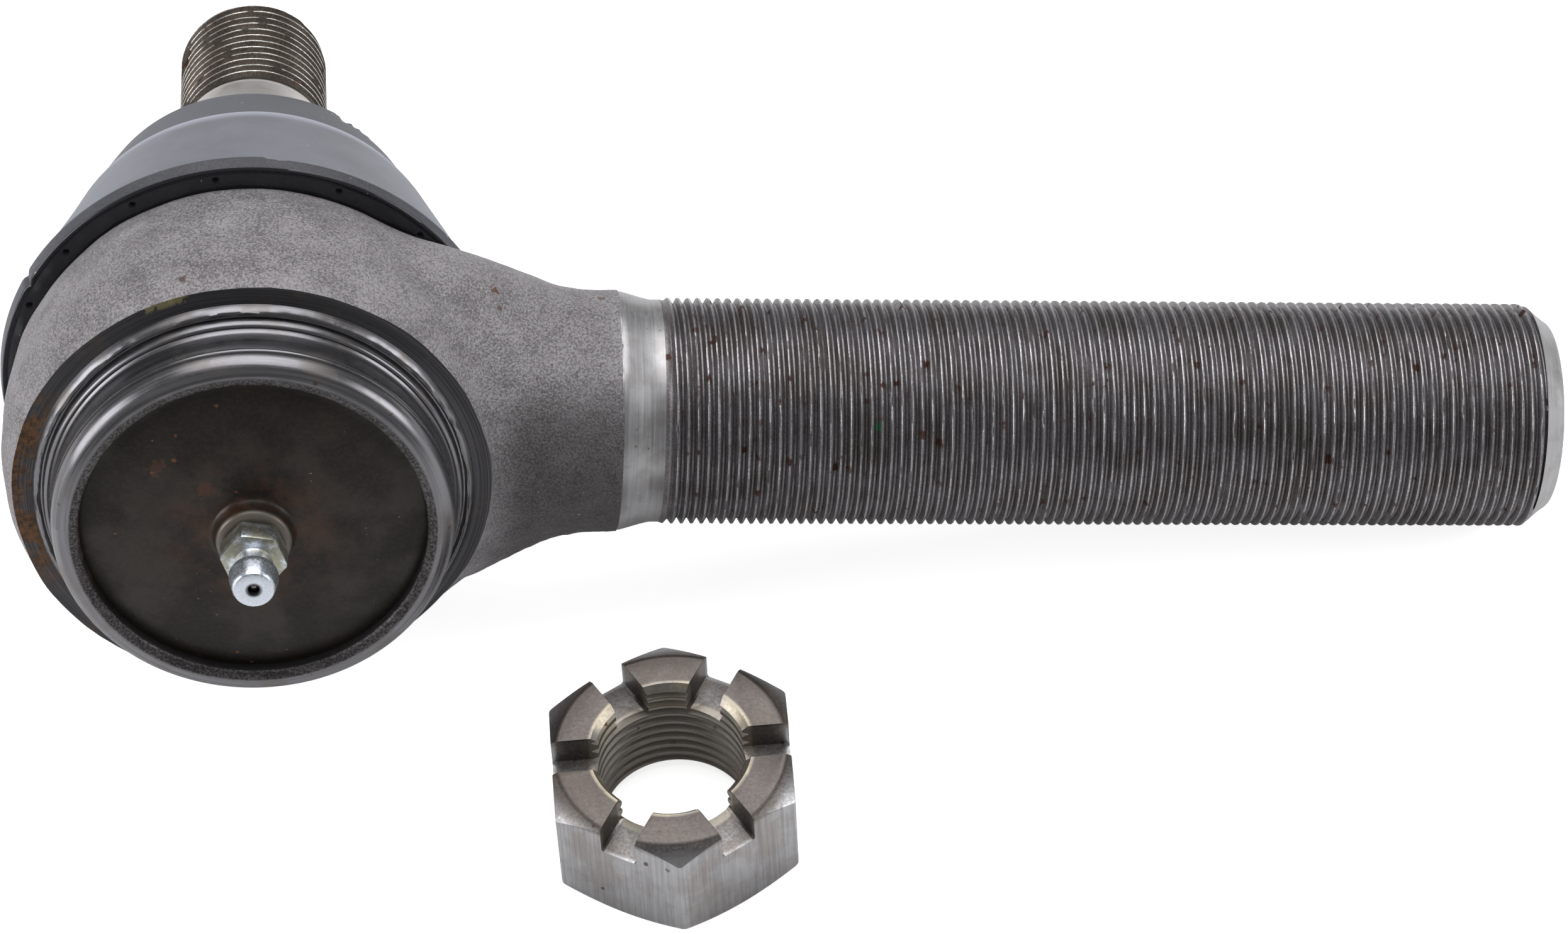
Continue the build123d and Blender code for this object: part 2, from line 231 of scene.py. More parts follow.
def beyond_forging(p):
    """About how far a point lies outside the forged surface, where the neck runs into the cup."""
    x, y, z = p.T
    out = np.hypot(x, y) + 1e-9
    low_right = np.exp(-((np.arctan2(y, x) - 0.75) / 0.45) ** 2) * np.clip((-13 - z) / 6, 0, 1)
    cup = out - np.interp(z, cup_at, cup_r) + 1.1 * low_right
    blending = np.clip((z + 20.5) / 7, 0, 1)
    z = z - np.interp(x, *NECK_DROP)
    wide = np.interp(x, neck_at, neck_w)
    flat = np.sqrt((y / wide) ** 2 + (z / NECK_HIGH) ** 2) + 1e-9
    steep = np.sqrt((y / wide**2) ** 2 + (z / NECK_HIGH**2) ** 2) + 1e-9
    neck = np.maximum(flat * (flat - 1) / steep, 2 - x)
    lean = np.stack([-np.interp(x, neck_at, neck_slope) * y**2 / wide**3, y / wide**2, z / NECK_HIGH**2])
    lean /= np.sqrt((lean**2).sum(0)) + 1e-9
    apart = np.clip(1 - (x * lean[0] + y * lean[1]) / out, 0, 1)
    reach = WEB_ROUND * apart * blending + 0.01
    near = np.clip(reach - np.abs(cup - neck), 0, None) / reach
    return np.minimum(cup, neck) - near**2 * reach / 4


def hills(p, size, seed):
    """Smooth random rise and fall over a surface, about size across and from -1 to 1."""
    chance = np.random.RandomState(seed)
    total = np.zeros(len(p))
    for wave in range(14):
        turn = chance.normal(0, 1, 3)
        turn *= 2 * math.pi / size * chance.uniform(0.6, 1.5) / np.linalg.norm(turn)
        total += np.sin(p @ turn + chance.uniform(0, 6.3))
    return total / 5


cup_rough = [(0, -32)] + [(r, z) for r, z in CUP_SIDE] + [(0, 24)]
forging = turned("socket_forging_body", cup_rough, 96)
ring = np.arange(72)[None, :] * 2 * math.pi / 72
stations = np.array([2, 8, 14, 20, 25, 30, 35, 40, 45, 50, 55], float)[:, None]
widths = np.interp(stations, neck_at, neck_w)
heights = np.interp(stations, *NECK_DROP) + NECK_HIGH * np.sin(ring)
neck_points = np.stack(np.broadcast_arrays(stations, widths * np.cos(ring), heights), -1)
neck_ends = np.broadcast_to(np.array([[[2.0, 0, 0]], [[55.0, 0, 0]]]), (2, 72, 3))
neck_points = np.concatenate([neck_ends[:1], neck_points, neck_ends[1:]]).reshape(-1, 3)
neck = make_piece("neck", neck_points, grid_faces(13, 72))
combine(forging, neck, "UNION")
remesh = forging.modifiers.new("even", "REMESH")
remesh.mode = "VOXEL"
remesh.voxel_size = 0.55
settle(forging)
mesh = forging.data
skin = np.zeros(len(mesh.vertices) * 3, np.float32)
mesh.vertices.foreach_get("co", skin)
skin = skin.reshape(-1, 3).astype(float)
for pull in range(5):
    off = beyond_forging(skin)
    slope = np.stack([beyond_forging(skin + step) - off for step in np.eye(3) * 0.02], 1) / 0.02
    free = (np.abs(off) < 3) & (skin[:, 0] < 54) & (skin[:, 2] > -31) & (skin[:, 2] < 23)
    step = off[:, None] * slope / ((slope**2).sum(1)[:, None] + 1e-6)
    skin[free] -= np.clip(step, -1, 1)[free]
slope /= np.linalg.norm(slope, axis=1)[:, None] + 1e-6
under_neck = np.clip((skin[:, 0] - 30) / 8, 0, 1) * np.clip((8 - skin[:, 2]) / 14, 0, 1)
peel = hills(skin, 1.9, 3) * (0.014 + 0.05 * under_neck)
peel = peel + hills(skin, 11, 4) * 0.09 + hills(skin, 28, 5) * 0.08
skin[free] += (slope * peel[:, None])[free]
mesh.vertices.foreach_set("co", skin.astype(np.float32).ravel())
work = bmesh.new()
work.from_mesh(mesh)
everything = work.verts[:] + work.edges[:] + work.faces[:]
bmesh.ops.bisect_plane(work, geom=everything, plane_co=(NECK_END, 0, 0), plane_no=(1, 0, 0), clear_outer=True)
bmesh.ops.holes_fill(work, edges=[edge for edge in work.edges if edge.is_boundary])
bmesh.ops.triangulate(work, faces=[face for face in work.faces if len(face.verts) > 4])
bmesh.ops.recalc_face_normals(work, faces=work.faces)
work.to_mesh(mesh)
work.free()

# The tool path below: the dark annular face, the burr thrown up by rolling, the step, the rim with
# its round rolled edge, and inside it the plate's pocket and the bearing bore.
RIM_R = 27.2
RIM_FACE = -30.2
LIP_R = 23.4
BEAD_R = 2.6
rim_bead = [(RIM_R - BEAD_R + BEAD_R * math.cos(a), RIM_FACE + BEAD_R - BEAD_R * math.sin(a))
            for a in np.linspace(0.05, math.pi / 2, 12)]
turned_face = [(34.2, -19.9), (33.2, -19.9), (32.2, -19.9), (31.2, -19.93), (30.3, -19.95), (30.0, -20.0)]
burr = [(29.8, -20.45), (29.5, -20.95), (29.3, -21.15), (29.05, -21.2), (28.85, -20.95), (28.7, -20.75),
        (28.5, -20.8)]
step_ring = [(28.35, -21.3), (28.25, -21.9), (28.05, -22.2), (27.8, -22.3), (27.55, -22.2), (27.3, -22.45),
             (27.15, -22.9)]
rim_side = [(27.2, -23.4), (27.2, -24.4), (27.2, -25.4), (27.2, -26.3), (27.14, -26.5), (27.18, -26.7),
            (27.1, -26.85), (27.2, -27.05), (27.14, -27.3), (27.2, -27.5)]
lip = [(24.45, -30.17), (24.1, -30.05), (23.8, -29.98), (23.55, -29.82), (LIP_R, -29.6), (LIP_R, -28.2)]
bore = [(25.6, -28.2), (25.6, -26.2), (24.8, -26.2), (24.8, 1.4), (17.4, 10.9), (18.8, 12.6), (18.8, 14),
        (0, 14)]
beyond = [(0, -60), (60, -60), (60, -19.9)]
cup_tool = beyond + turned_face + burr + step_ring + rim_side + rim_bead + lip + bore


def rolled_unevenly(radius, height, angle):
    """Rolling throws up a ragged burr, and leaves the lip's inner edge a little uneven."""
    around = np.stack([np.cos(angle[0]), np.sin(angle[0]), 0 * angle[0]], 1)
    ragged = hills(around, 0.13, 8) + 0.6 * hills(around, 0.05, 9)
    slow = hills(around, 0.9, 10)
    near_burr = np.exp(-((radius - 29.2) / 0.35) ** 2) * (height > -22) * (height < -20)
    radius = radius + near_burr * (0.13 * ragged + 0.08 * slow)[None, :]
    height = height - near_burr * (0.09 * hills(around, 0.1, 11))[None, :]
    at_lip = (radius < 24.2) * (radius > 23.2) * (height < -28)
    radius = radius + at_lip * (0.035 * hills(around, 0.08, 12) + 0.03 * slow)[None, :]
    on_lip = (radius < 24.8) * (radius > 23.2) * (height < -29.5)
    return radius, height + on_lip * (0.03 * hills(around, 0.16, 13))[None, :]


combine(forging, turned("cup_tool", cup_tool, 360, wander=rolled_unevenly), "DIFFERENCE")

# The boss and the boot's seat are turned above, and the same cut scoops the top of the neck.
SCOOP_R = 24
scoop = [(31.4 + SCOOP_R * math.cos(a), 29.8 + SCOOP_R * math.sin(a))
         for a in np.radians(np.linspace(-77.5, -30.8, 14))]
boss_tool = ([(0, 12.6), (25.9, 12.6), (26.3, 12.4), (26.5, 12.0), (26.5, 6.8), (26.8, 6.4)]
             + scoop + [(52, 40), (0, 40)])
combine(forging, turned("boss_tool", boss_tool, 192), "DIFFERENCE")

# The shank: a turned band, the rolled thread with a fine seam along its crest, and a chamfered end.
SHANK_R = 15.875
SHANK_PITCH = 25.4 / 18
shank_thread = ((0.0, 0.86), (0.09, 0.82), (0.37, 0.12), (0.41, 0.02), (0.45, 0.0), (0.48, 0.05),
                (0.53, 0.05), (0.55, 0.02), (0.58, 0.05), (0.62, 0.14), (0.91, 0.82))
shank_band = [(0, 42.5), (16.0, 42.5), (16.6, 49.9), (16.72, 50.3), (16.74, 50.9), (16.62, 51.4),
              (16.3, 52.5), (15.95, 53.7), (15.65, 54.9), (15.6, 55.4), (15.6, 56.4)]
shank_tip = [(15.5, 180.2), (15.0, 180.8), (14.4, 181.5), (13.8, 182.3), (13.4, 182.9), (13.2, 183.1),
             (12.7, 183.2), (10, 183.2), (5, 183.16), (0, 183.2)]
shank = threaded("shank", (56.4, 180.2), SHANK_R, SHANK_PITCH, shank_thread, 120, shank_band, shank_tip,
                 along_shank=True, nicks=420, seed=5)
combine(forging, shank, "UNION")


def socket(tree, target, value):
    """Feeds a node's input from another node, or sets it to a plain value."""
    if isinstance(value, bpy.types.NodeSocket):
        tree.links.new(value, target)
    elif value is not None:
        target.default_value = value


def node(tree, kind, inputs=(), **settings):
    """Adds a shader node, with its settings and its inputs by name or in order."""
    made = tree.nodes.new("ShaderNode" + kind)
    for name, value in settings.items():
        setattr(made, name, value)
    for name, value in inputs.items() if isinstance(inputs, dict) else enumerate(inputs):
        socket(tree, made.inputs[name], value)
    return made


def sums(tree, how, *values):
    """Arithmetic on one, two or three values."""
    return node(tree, "Math", values, operation=how).outputs[0]


def noise(tree, at, scale, detail, roughness=0.5):
    """Cloudy noise, as a value about a half."""
    inputs = {"Vector": at, "Scale": scale, "Detail": detail, "Roughness": roughness}
    return node(tree, "TexNoise", inputs).outputs[0]


def far_from(tree, at, spot):
    """How far a place is from one spot."""
    return node(tree, "VectorMath", (at, spot), operation="DISTANCE").outputs["Value"]


def plus(tree, first, second):
    return sums(tree, "ADD", first, second)


def times(tree, first, second):
    return sums(tree, "MULTIPLY", first, second)


def rise(tree, value, low, high, start=0.0, end=1.0):
    """Goes smoothly from start to end as value goes from low to high."""
    inputs = (value, low, high, start, end)
    return node(tree, "MapRange", inputs, interpolation_type="SMOOTHSTEP").outputs[0]


def mixed(tree, share, first, second):
    """From one colour to another, by share."""
    return node(tree, "Mix", {0: share, 6: first, 7: second}, data_type="RGBA").outputs[2]


def ramp(tree, value, low, high, first, second):
    """A colour that goes from first to second as value goes from low to high."""
    return mixed(tree, rise(tree, value, low, high), first, second)


def shade(red, green, blue):
    """A colour given as it looks on a screen, 0 to 255."""
    return tuple((c / 255 / 12.92) if c < 10.3 else ((c / 255 + 0.055) / 1.055) ** 2.4
                 for c in (red, green, blue)) + (1.0,)


def effect(name, inputs, *outputs):
    """An empty node group with named inputs and outputs."""
    group = bpy.data.node_groups.new(name, "ShaderNodeTree")
    for label, value in inputs.items():
        kind = "NodeSocketFloat" if isinstance(value, (int, float)) else "NodeSocketVector"
        made = group.interface.new_socket(label, in_out="INPUT", socket_type=kind)
        if kind == "NodeSocketFloat":
            made.default_value = value
    for label in outputs:
        group.interface.new_socket(label, in_out="OUTPUT", socket_type="NodeSocketFloat")
    entry = group.nodes.new("NodeGroupInput")
    leave = group.nodes.new("NodeGroupOutput")
    return group, entry.outputs, leave.inputs


def apply_effect(tree, group, inputs):
    return node(tree, "Group", inputs, node_tree=group).outputs


# Blasted or cast grain: fine grit over soft unevenness.
grain, given, out = effect("grain", {"Place": None, "Size": 0.5}, "Height", "Shade")
fine = sums(grain, "DIVIDE", 1.0, given["Size"])
grit = noise(grain, given["Place"], fine, 3.0, 0.65)
broad = noise(grain, given["Place"], times(grain, fine, 0.06), 3.0)
socket(grain, out["Height"], grit)
socket(grain, out["Shade"], plus(grain, times(grain, grit, 0.8), times(grain, broad, 0.2)))

# Specks: dust, rust dots or pits, one in some of the cells of an uneven net.
specks, given, out = effect("specks", {"Place": None, "Spacing": 3.0, "Size": 0.2, "Share": 0.5}, "Mask")
push = node(specks, "TexNoise", {"Vector": given["Place"], "Scale": 2.2, "Detail": 2.0})
moved = node(specks, "VectorMath", {0: push.outputs["Color"], 3: 0.5}, operation="SCALE").outputs[0]
moved = node(specks, "VectorMath", (given["Place"], moved), operation="ADD").outputs[0]
cells = node(specks, "TexVoronoi", {"Vector": moved, "Scale": sums(specks, "DIVIDE", 1.0, given["Spacing"])})
draw = node(specks, "SeparateColor", (cells.outputs["Color"],))
kept = sums(specks, "LESS_THAN", draw.outputs[0], given["Share"])
reach = times(specks, given["Size"], plus(specks, draw.outputs[1], 0.35))
spot = rise(specks, sums(specks, "DIVIDE", cells.outputs["Distance"], reach), 0.75, 1.0, 1.0, 0.0)
socket(specks, out["Mask"], times(specks, spot, kept))

# Patches: stains, oil, rust bloom or wear with ragged edges.
inputs = {"Place": None, "Size": 8.0, "Level": 0.55, "Softness": 0.06}
patches, given, out = effect("patches", inputs, "Mask")
spread = sums(patches, "DIVIDE", 1.0, given["Size"])
cloud = noise(patches, given["Place"], spread, 6.0, 0.62)
low = sums(patches, "SUBTRACT", given["Level"], given["Softness"])
high = plus(patches, given["Level"], given["Softness"])
socket(patches, out["Mask"], rise(patches, cloud, low, high))

# Round place: radius, height and angle about the drawn Z axis.
round_place, given, out = effect("round_place", {"Place": None}, "Radius", "Height", "Angle")
split = node(round_place, "SeparateXYZ", (given["Place"],))
squares = [sums(round_place, "POWER", sums(round_place, "ABSOLUTE", side), 2.0) for side in split.outputs[:2]]
socket(round_place, out["Radius"], sums(round_place, "SQRT", plus(round_place, *squares)))
socket(round_place, out["Height"], split.outputs[2])
socket(round_place, out["Angle"], sums(round_place, "ARCTAN2", split.outputs[1], split.outputs[0]))

# Tool lines: the fine rings that a lathe leaves, which fade in and out round the turn.
inputs = {"Radius": 0.0, "Height": 0.0, "Angle": 0.0, "Pitch": 0.2}
tool_lines, given, out = effect("tool_lines", inputs, "Lines")
ways = [sums(tool_lines, "DIVIDE", sums(tool_lines, how, given["Radius"], given["Height"]), given["Pitch"])
        for how in ("ADD", "SUBTRACT")]
where = node(tool_lines, "CombineXYZ", (*ways, times(tool_lines, given["Angle"], 1.5))).outputs[0]
socket(tool_lines, out["Lines"], noise(tool_lines, where, 0.6, 4.0, 0.7))


def daub(tree, at, spot, reach):
    """A single ragged mark about one spot."""
    edge = noise(tree, at, 1.4 / reach, 4.0, 0.7)
    far = plus(tree, sums(tree, "DIVIDE", far_from(tree, at, spot), reach), times(tree, edge, 2.4))
    return rise(tree, far, 1.9, 2.1, 1.0, 0.0)


def round_about(tree, at):
    """Radius, height and angle of a place about the drawn Z axis."""
    return apply_effect(tree, round_place, {"Place": at})


def shank_place(tree, at):
    """A place turned so that the shank lies along Z, for the round effects."""
    parts = node(tree, "SeparateXYZ", (at,)).outputs
    return node(tree, "CombineXYZ", (parts[1], parts[2], parts[0])).outputs[0]


def lathe_lines(tree, round_at, pitch):
    """Fine rings left by a lathe at a round place."""
    inputs = {"Pitch": pitch}
    for part in ("Radius", "Height", "Angle"):
        inputs[part] = round_at[part]
    return apply_effect(tree, tool_lines, inputs)["Lines"]


def grains(tree, at, size):
    """Height and shade of fine grain."""
    return apply_effect(tree, grain, {"Place": at, "Size": size})


def patchy(tree, at, size, level, softness):
    """Where ragged patches lie."""
    inputs = {"Place": at, "Size": size, "Level": level, "Softness": softness}
    return apply_effect(tree, patches, inputs)["Mask"]


def dotted(tree, at, spacing, size, share):
    """Where specks lie."""
    inputs = {"Place": at, "Spacing": spacing, "Size": size, "Share": share}
    return apply_effect(tree, specks, inputs)["Mask"]


def laid_over(tree, colour, mask, share, top):
    """A second colour laid over the first where a mask says, and by how much."""
    return mixed(tree, times(tree, mask, share), colour, top)


def specked(tree, colour, at, spacing, size, often, share, top):
    """A colour with specks of another on it."""
    return laid_over(tree, colour, dotted(tree, at, spacing, size, often), share, top)


def stained(tree, colour, at, size, level, softness, share, top):
    """A colour with ragged patches of another on it."""
    return laid_over(tree, colour, patchy(tree, at, size, level, softness), share, top)


def drawn_place(tree):
    return node(tree, "Attribute", attribute_name="drawn_place").outputs["Vector"]


def material(name, **plain):
    """A material with one Principled shader, whose plain values are set on its own sockets."""
    made = bpy.data.materials.new(name)
    made.use_nodes = True
    tree = made.node_tree
    shader = tree.nodes["Principled BSDF"]
    for label, value in plain.items():
        shader.inputs[label.replace("_", " ")].default_value = value
    return made, tree, shader.inputs


def dress(tree, skin_of, colour, rough, normal):
    """Feeds a worked-out colour, roughness and bump to the material's shader."""
    for label, value in (("Base Color", colour), ("Roughness", rough), ("Normal", normal)):
        socket(tree, skin_of[label], value)


def bump(tree, height, strength, distance, normal=None):
    inputs = {"Height": height, "Strength": strength, "Distance": distance * MM, "Normal": normal}
    return node(tree, "Bump", inputs).outputs[0]


blasted, tree, skin_of = material("blasted_steel", Metallic=0.55, Specular_IOR_Level=0.4)
at = drawn_place(tree)
parts = node(tree, "SeparateXYZ", (at,)).outputs
small = grains(tree, at, 0.32)
large = grains(tree, at, 1.1)
colour = ramp(tree, small["Shade"], 0.38, 0.62, shade(106, 103, 105), shade(166, 163, 166))
colour = stained(tree, colour, at, 7.0, 0.6, 0.12, 0.16, shade(188, 186, 190))
# Painted shade: the underside of the neck and the cup beside it are painted darker, where shade falls below
# the neck.
painted_shade_under_neck = times(tree, rise(tree, parts[0], 30, 38), rise(tree, parts[2], 0, -12))
painted_shade_under_neck = times(tree, painted_shade_under_neck, rise(tree, parts[1], -15, -7))
colour = laid_over(tree, colour, painted_shade_under_neck, 0.62, shade(56, 52, 53))
colour = specked(tree, colour, at, 1.1, 0.17, 0.3, 0.6, shade(84, 74, 72))
colour = specked(tree, colour, at, 1.5, 0.09, 0.3, 0.5, shade(214, 214, 218))
colour = specked(tree, colour, at, 12.0, 0.055, 0.3, 0.7, shade(98, 72, 56))
for spot, size, share, top in (
    ((33, -23, -4.5), 1.0, 0.85, shade(98, 62, 46)),
    ((33.4, -21.4, -7.0), 0.6, 0.7, shade(90, 66, 54)),
    ((-9.6, -32, -17), 0.6, 0.8, shade(84, 62, 48)),
):
    colour = laid_over(tree, colour, daub(tree, at, spot, size), share, top)
rough = rise(tree, small["Height"], 0.3, 0.7, 0.5, 0.68)
first = bump(tree, large["Height"], 0.4, 0.5)
dress(tree, skin_of, colour, rough, bump(tree, small["Height"], 0.75, 0.35, first))

face_steel, tree, skin_of = material("turned_face", Metallic=0.85)
at = drawn_place(tree)
round_at = round_about(tree, at)
lines = lathe_lines(tree, round_at, 0.16)
colour = ramp(tree, lines, 0.32, 0.68, shade(52, 51, 54), shade(80, 79, 82))
colour = stained(tree, colour, at, 5.0, 0.6, 0.08, 0.4, shade(90, 80, 72))
left = sums(tree, "ABSOLUTE", plus(tree, sums(tree, "ABSOLUTE", round_at["Angle"]), -3.12))
rust = patchy(tree, at, 2.6, 0.47, 0.09)
rust_here = times(tree, rust, rise(tree, left, 0.28, 0.55, 1.0, 0.0))
tint = grains(tree, at, 0.7)["Shade"]
rusty = ramp(tree, tint, 0.35, 0.65, shade(82, 60, 44), shade(132, 98, 66))
colour = laid_over(tree, colour, rust_here, 0.75, rusty)
for spot, size in (((-10.1, -30.8, -19.7), 1.5), ((-12.2, -30.2, -19.7), 1.7), ((-14.0, -29.4, -19.8), 1.2)):
    residue = times(tree, daub(tree, at, spot, size), rise(tree, round_at["Radius"], 31.2, 31.8))
    colour = laid_over(tree, colour, residue, 0.7, shade(148, 142, 104))
rough = plus(tree, rise(tree, lines, 0.3, 0.7, 0.46, 0.34), times(tree, rust_here, 0.3))
dress(tree, skin_of, colour, rough, bump(tree, lines, 0.5, 0.05))

rim_steel, tree, skin_of = material("rolled_rim", Metallic=0.95)
at = drawn_place(tree)
round_at = round_about(tree, at)
lines = lathe_lines(tree, round_at, 0.3)
colour = ramp(tree, lines, 0.3, 0.7, shade(104, 103, 106), shade(134, 133, 137))
oil = patchy(tree, at, 7.0, 0.57, 0.08)
colour = laid_over(tree, colour, oil, 0.35, shade(112, 104, 94))
scuffs = grains(tree, at, 0.35)["Shade"]
on_lip = rise(tree, round_at["Radius"], 24.9, 24.5)
lip_colour = ramp(tree, scuffs, 0.4, 0.66, shade(58, 55, 56), shade(106, 103, 104))
colour = mixed(tree, on_lip, colour, lip_colour)
colour = specked(tree, colour, at, 2.6, 0.12, 0.25, 0.7, shade(96, 78, 62))
rough = plus(tree, rise(tree, lines, 0.3, 0.7, 0.22, 0.33), times(tree, on_lip, 0.22))
rough = plus(tree, rough, times(tree, oil, 0.1))
first = bump(tree, times(tree, scuffs, on_lip), 0.5, 0.12)
dress(tree, skin_of, colour, rough, bump(tree, lines, 0.3, 0.04, first))


def thread_steel(name, along_shank, crest_r, dark, light, crest, spot_share, spots=()):
    """Rolled thread: dark flanks that hold oil and rust dots, and crests rubbed bright."""
    made, tree, skin_of = material(name, Metallic=0.85)
    at = drawn_place(tree)
    round_at = round_about(tree, shank_place(tree, at) if along_shank else at)
    scratch = grains(tree, at, 0.3)
    stain = patchy(tree, at, 6.0, 0.52, 0.12)
    colour = ramp(tree, scratch["Shade"], 0.35, 0.7, dark, light)
    colour = laid_over(tree, colour, stain, 0.4, shade(82, 72, 62))
    reached = plus(tree, round_at["Radius"], times(tree, scratch["Height"], 0.12))
    rubbed = rise(tree, reached, crest_r - 0.02, crest_r + 0.07)
    colour = laid_over(tree, colour, rubbed, 0.95, crest)
    dots = dotted(tree, at, 2.1, 0.3, spot_share)
    blotch = patchy(tree, at, 3.0, 0.5, 0.1)
    dots = times(tree, dots, blotch)
    for spot in spots:
        dots = sums(tree, "MAXIMUM", dots, daub(tree, at, spot, 0.8))
    colour = laid_over(tree, colour, dots, 0.9, shade(78, 48, 38))
    return made, tree, skin_of, at, colour, rubbed, scratch, dots


shank_steel, tree, skin_of, at, colour, rubbed, scratch, dots = thread_steel(
    "shank_thread", True, SHANK_R, shade(112, 109, 112), shade(146, 143, 146), shade(198, 197, 200), 0.34,
    ((61.2, -15.8, 0.0), (62.6, -15.6, -2.4), (62.6, -12.2, -10.2), (69.5, 3.5, -15.5), (73.5, -2.0, -15.8),
     (66.0, 8.0, -13.7), (77.5, 10.2, -12.2), (92.0, -6.0, -14.7)))
PAINT_SPOT = (85.7, -6.9, -14.3)
away = far_from(tree, at, PAINT_SPOT)
along = node(tree, "SeparateXYZ", (at,)).outputs[0]
aside = sums(tree, "ABSOLUTE", plus(tree, along, -PAINT_SPOT[0]))
fleck = times(tree, rise(tree, away, 0.75, 1.0, 1.0, 0.0), rise(tree, aside, 0.3, 0.42, 1.0, 0.0))
colour = mixed(tree, fleck, colour, shade(70, 150, 110))
rough = plus(tree, rise(tree, rubbed, 0, 1, 0.42, 0.24), times(tree, dots, 0.3))
dress(tree, skin_of, colour, rough, bump(tree, scratch["Height"], 0.3, 0.06))

band_steel, tree, skin_of = material("turned_band", Metallic=0.9)
at = drawn_place(tree)
round_at = round_about(tree, shank_place(tree, at))
lines = lathe_lines(tree, round_at, 0.22)
colour = ramp(tree, lines, 0.3, 0.7, shade(158, 157, 159), shade(180, 180, 183))
colour = stained(tree, colour, at, 4.0, 0.55, 0.1, 0.35, shade(128, 122, 116))
colour = specked(tree, colour, at, 1.8, 0.14, 0.2, 0.6, shade(88, 74, 64))
rough = rise(tree, lines, 0.3, 0.7, 0.36, 0.46)
dress(tree, skin_of, colour, rough, bump(tree, lines, 0.25, 0.05))


def forging_finish(x, y, z):
    """Which finish a face of the forging has, by where it is."""
    out = np.hypot(x, y)
    off_shank = np.hypot(y, z)
    kind = np.zeros(len(x), int)
    kind[(z < -19.85) & (out < 34) & (x < 45)] = 1
    kind[(z < -20.02) & (out < 30.1) & (x < 45)] = 2
    kind[(out < 26.1) & (z > -29.3) & (z < 12.7) & (x < 45)] = 1
    kind[(out < 26.7) & (z > 6.3) & (x < 45)] = 1
    kind[(x > 50.4) & (off_shank < 16.9)] = 3
    kind[(x > 56.4) & (x < 180.25)] = 4
    return kind


lay_down(forging, (blasted, face_steel, rim_steel, band_steel, shank_steel), forging_finish, sharp=38)
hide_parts("socket_forging")
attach(forging, "root")

# ---- bearings, spring, spring seat and seal ----
# Two hardened races hold the ball, a dished spring pushes the lower one up from its washer, and a
# rubber ring seals the plate. They are turned, pressed or moulded, and all are hidden in the cup.


def carried_place(tree):
    """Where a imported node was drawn, worked out from where it lies."""
    lying = node(tree, "TexCoord").outputs["Object"]
    back = LIE.inverted().to_euler()
    return node(tree, "Mapping", {"Vector": lying, "Rotation": back, "Scale": (1 / MM,) * 3}).outputs[0]


def carried_finish(name, dark, light, metal, roughness, size, blot):
    """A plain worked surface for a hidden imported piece: tool lines, grain and a film of grease."""
    made, tree, skin_of = material(name, Metallic=metal)
    at = carried_place(tree)
    round_at = round_about(tree, at)
    lines = lathe_lines(tree, round_at, size)
    speckle = grains(tree, at, size)
    colour = ramp(tree, lines, 0.3, 0.7, dark, light)
    grease = patchy(tree, at, 5.0, 0.5, 0.1)
    colour = laid_over(tree, colour, grease, 0.5, blot)
    rough = rise(tree, grease, 0, 1, roughness, roughness * 0.6)
    first = bump(tree, lines, 0.35, 0.05)
    dress(tree, skin_of, colour, rough, bump(tree, speckle["Height"], 0.3, 0.05, first))
    return made


def carry(node_name, finish):
    """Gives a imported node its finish, and leaves its shape as it is."""
    packed = frame["nodes"][node_name]
    packed.data.materials.clear()
    packed.data.materials.append(finish)


bearing_steel = carried_finish("bearing_steel", shade(118, 118, 122), shade(176, 176, 180),
                               0.9, 0.3, 0.2, shade(96, 80, 58))
spring_steel = carried_finish("spring_steel", shade(44, 46, 54), shade(84, 86, 94),
                              0.8, 0.42, 0.35, shade(58, 50, 42))
seat_steel = carried_finish("seat_steel", shade(122, 120, 118), shade(168, 166, 164),
                            0.85, 0.4, 0.3, shade(104, 88, 64))
seal_rubber = carried_finish("seal_rubber", shade(22, 22, 24), shade(40, 40, 43),
                             0.0, 0.5, 0.4, shade(30, 27, 24))
for node_name, finish in (
    ("upper_bearing", bearing_steel),
    ("lower_bearing", bearing_steel),
    ("preload_spring", spring_steel),
    ("spring_seat", seat_steel),
    ("cover_seal", seal_rubber),
):
    carry(node_name, finish)

# ---- ball stud ----
# Forged and turned alloy steel: a ground ball, a neck, a 1 in 8 taper for the steering arm, and a
# rolled thread, 14 to the inch, with a cross hole for the cotter pin near its tip.
BALL_R = 19.05
STUD_R = 11.1125
STUD_PITCH = 25.4 / 14
stud_thread = ((0.0, 1.11), (0.07, 1.05), (0.42, 0.06), (0.46, 0.0), (0.5, 0.03), (0.54, 0.0), (0.58, 0.06),
               (0.93, 1.05))
ball = [(BALL_R * math.cos(a), BALL_R * math.sin(a)) for a in np.radians(np.linspace(-71.64, 51.85, 40))]
stud_neck = [(11.35, 15.6), (10.95, 16.3), (10.8, 17.6), (10.8, 35.5), (12.1, 41.6), (12.72, 44),
             (12.93, 44.7)]
stud_shaft = ([(0, ball[0][1])] + ball + stud_neck
              + [(12.1, 58), (11.25, 71.2), (11.18, 71.9), (11.0, 72.4), (10.95, 72.6)])
stud_tip = [(10.9, 94.9), (10.3, 95.5), (9.8, 96.0), (9.5, 96.17), (9.1, 96.2), (5.0, 96.2), (3.2, 96.2),
            (2.6, 95.9), (1.2, 94.9), (0, 94.6)]
stud = threaded("ball_stud_body", (72.6, 94.9), STUD_R, STUD_PITCH, stud_thread, 128, stud_shaft, stud_tip,
                nicks=60, seed=11)
COTTER_HIGH = 90.8
COTTER_TURN = math.radians(16)
cotter_outline = [(0, -15), (4.2, -15), (2.9, -11.15), (2.45, -10.75), (2.2, -10.3), (2.2, 10.3),
                  (2.45, 10.75), (2.9, 11.15), (4.2, 15), (0, 15)]
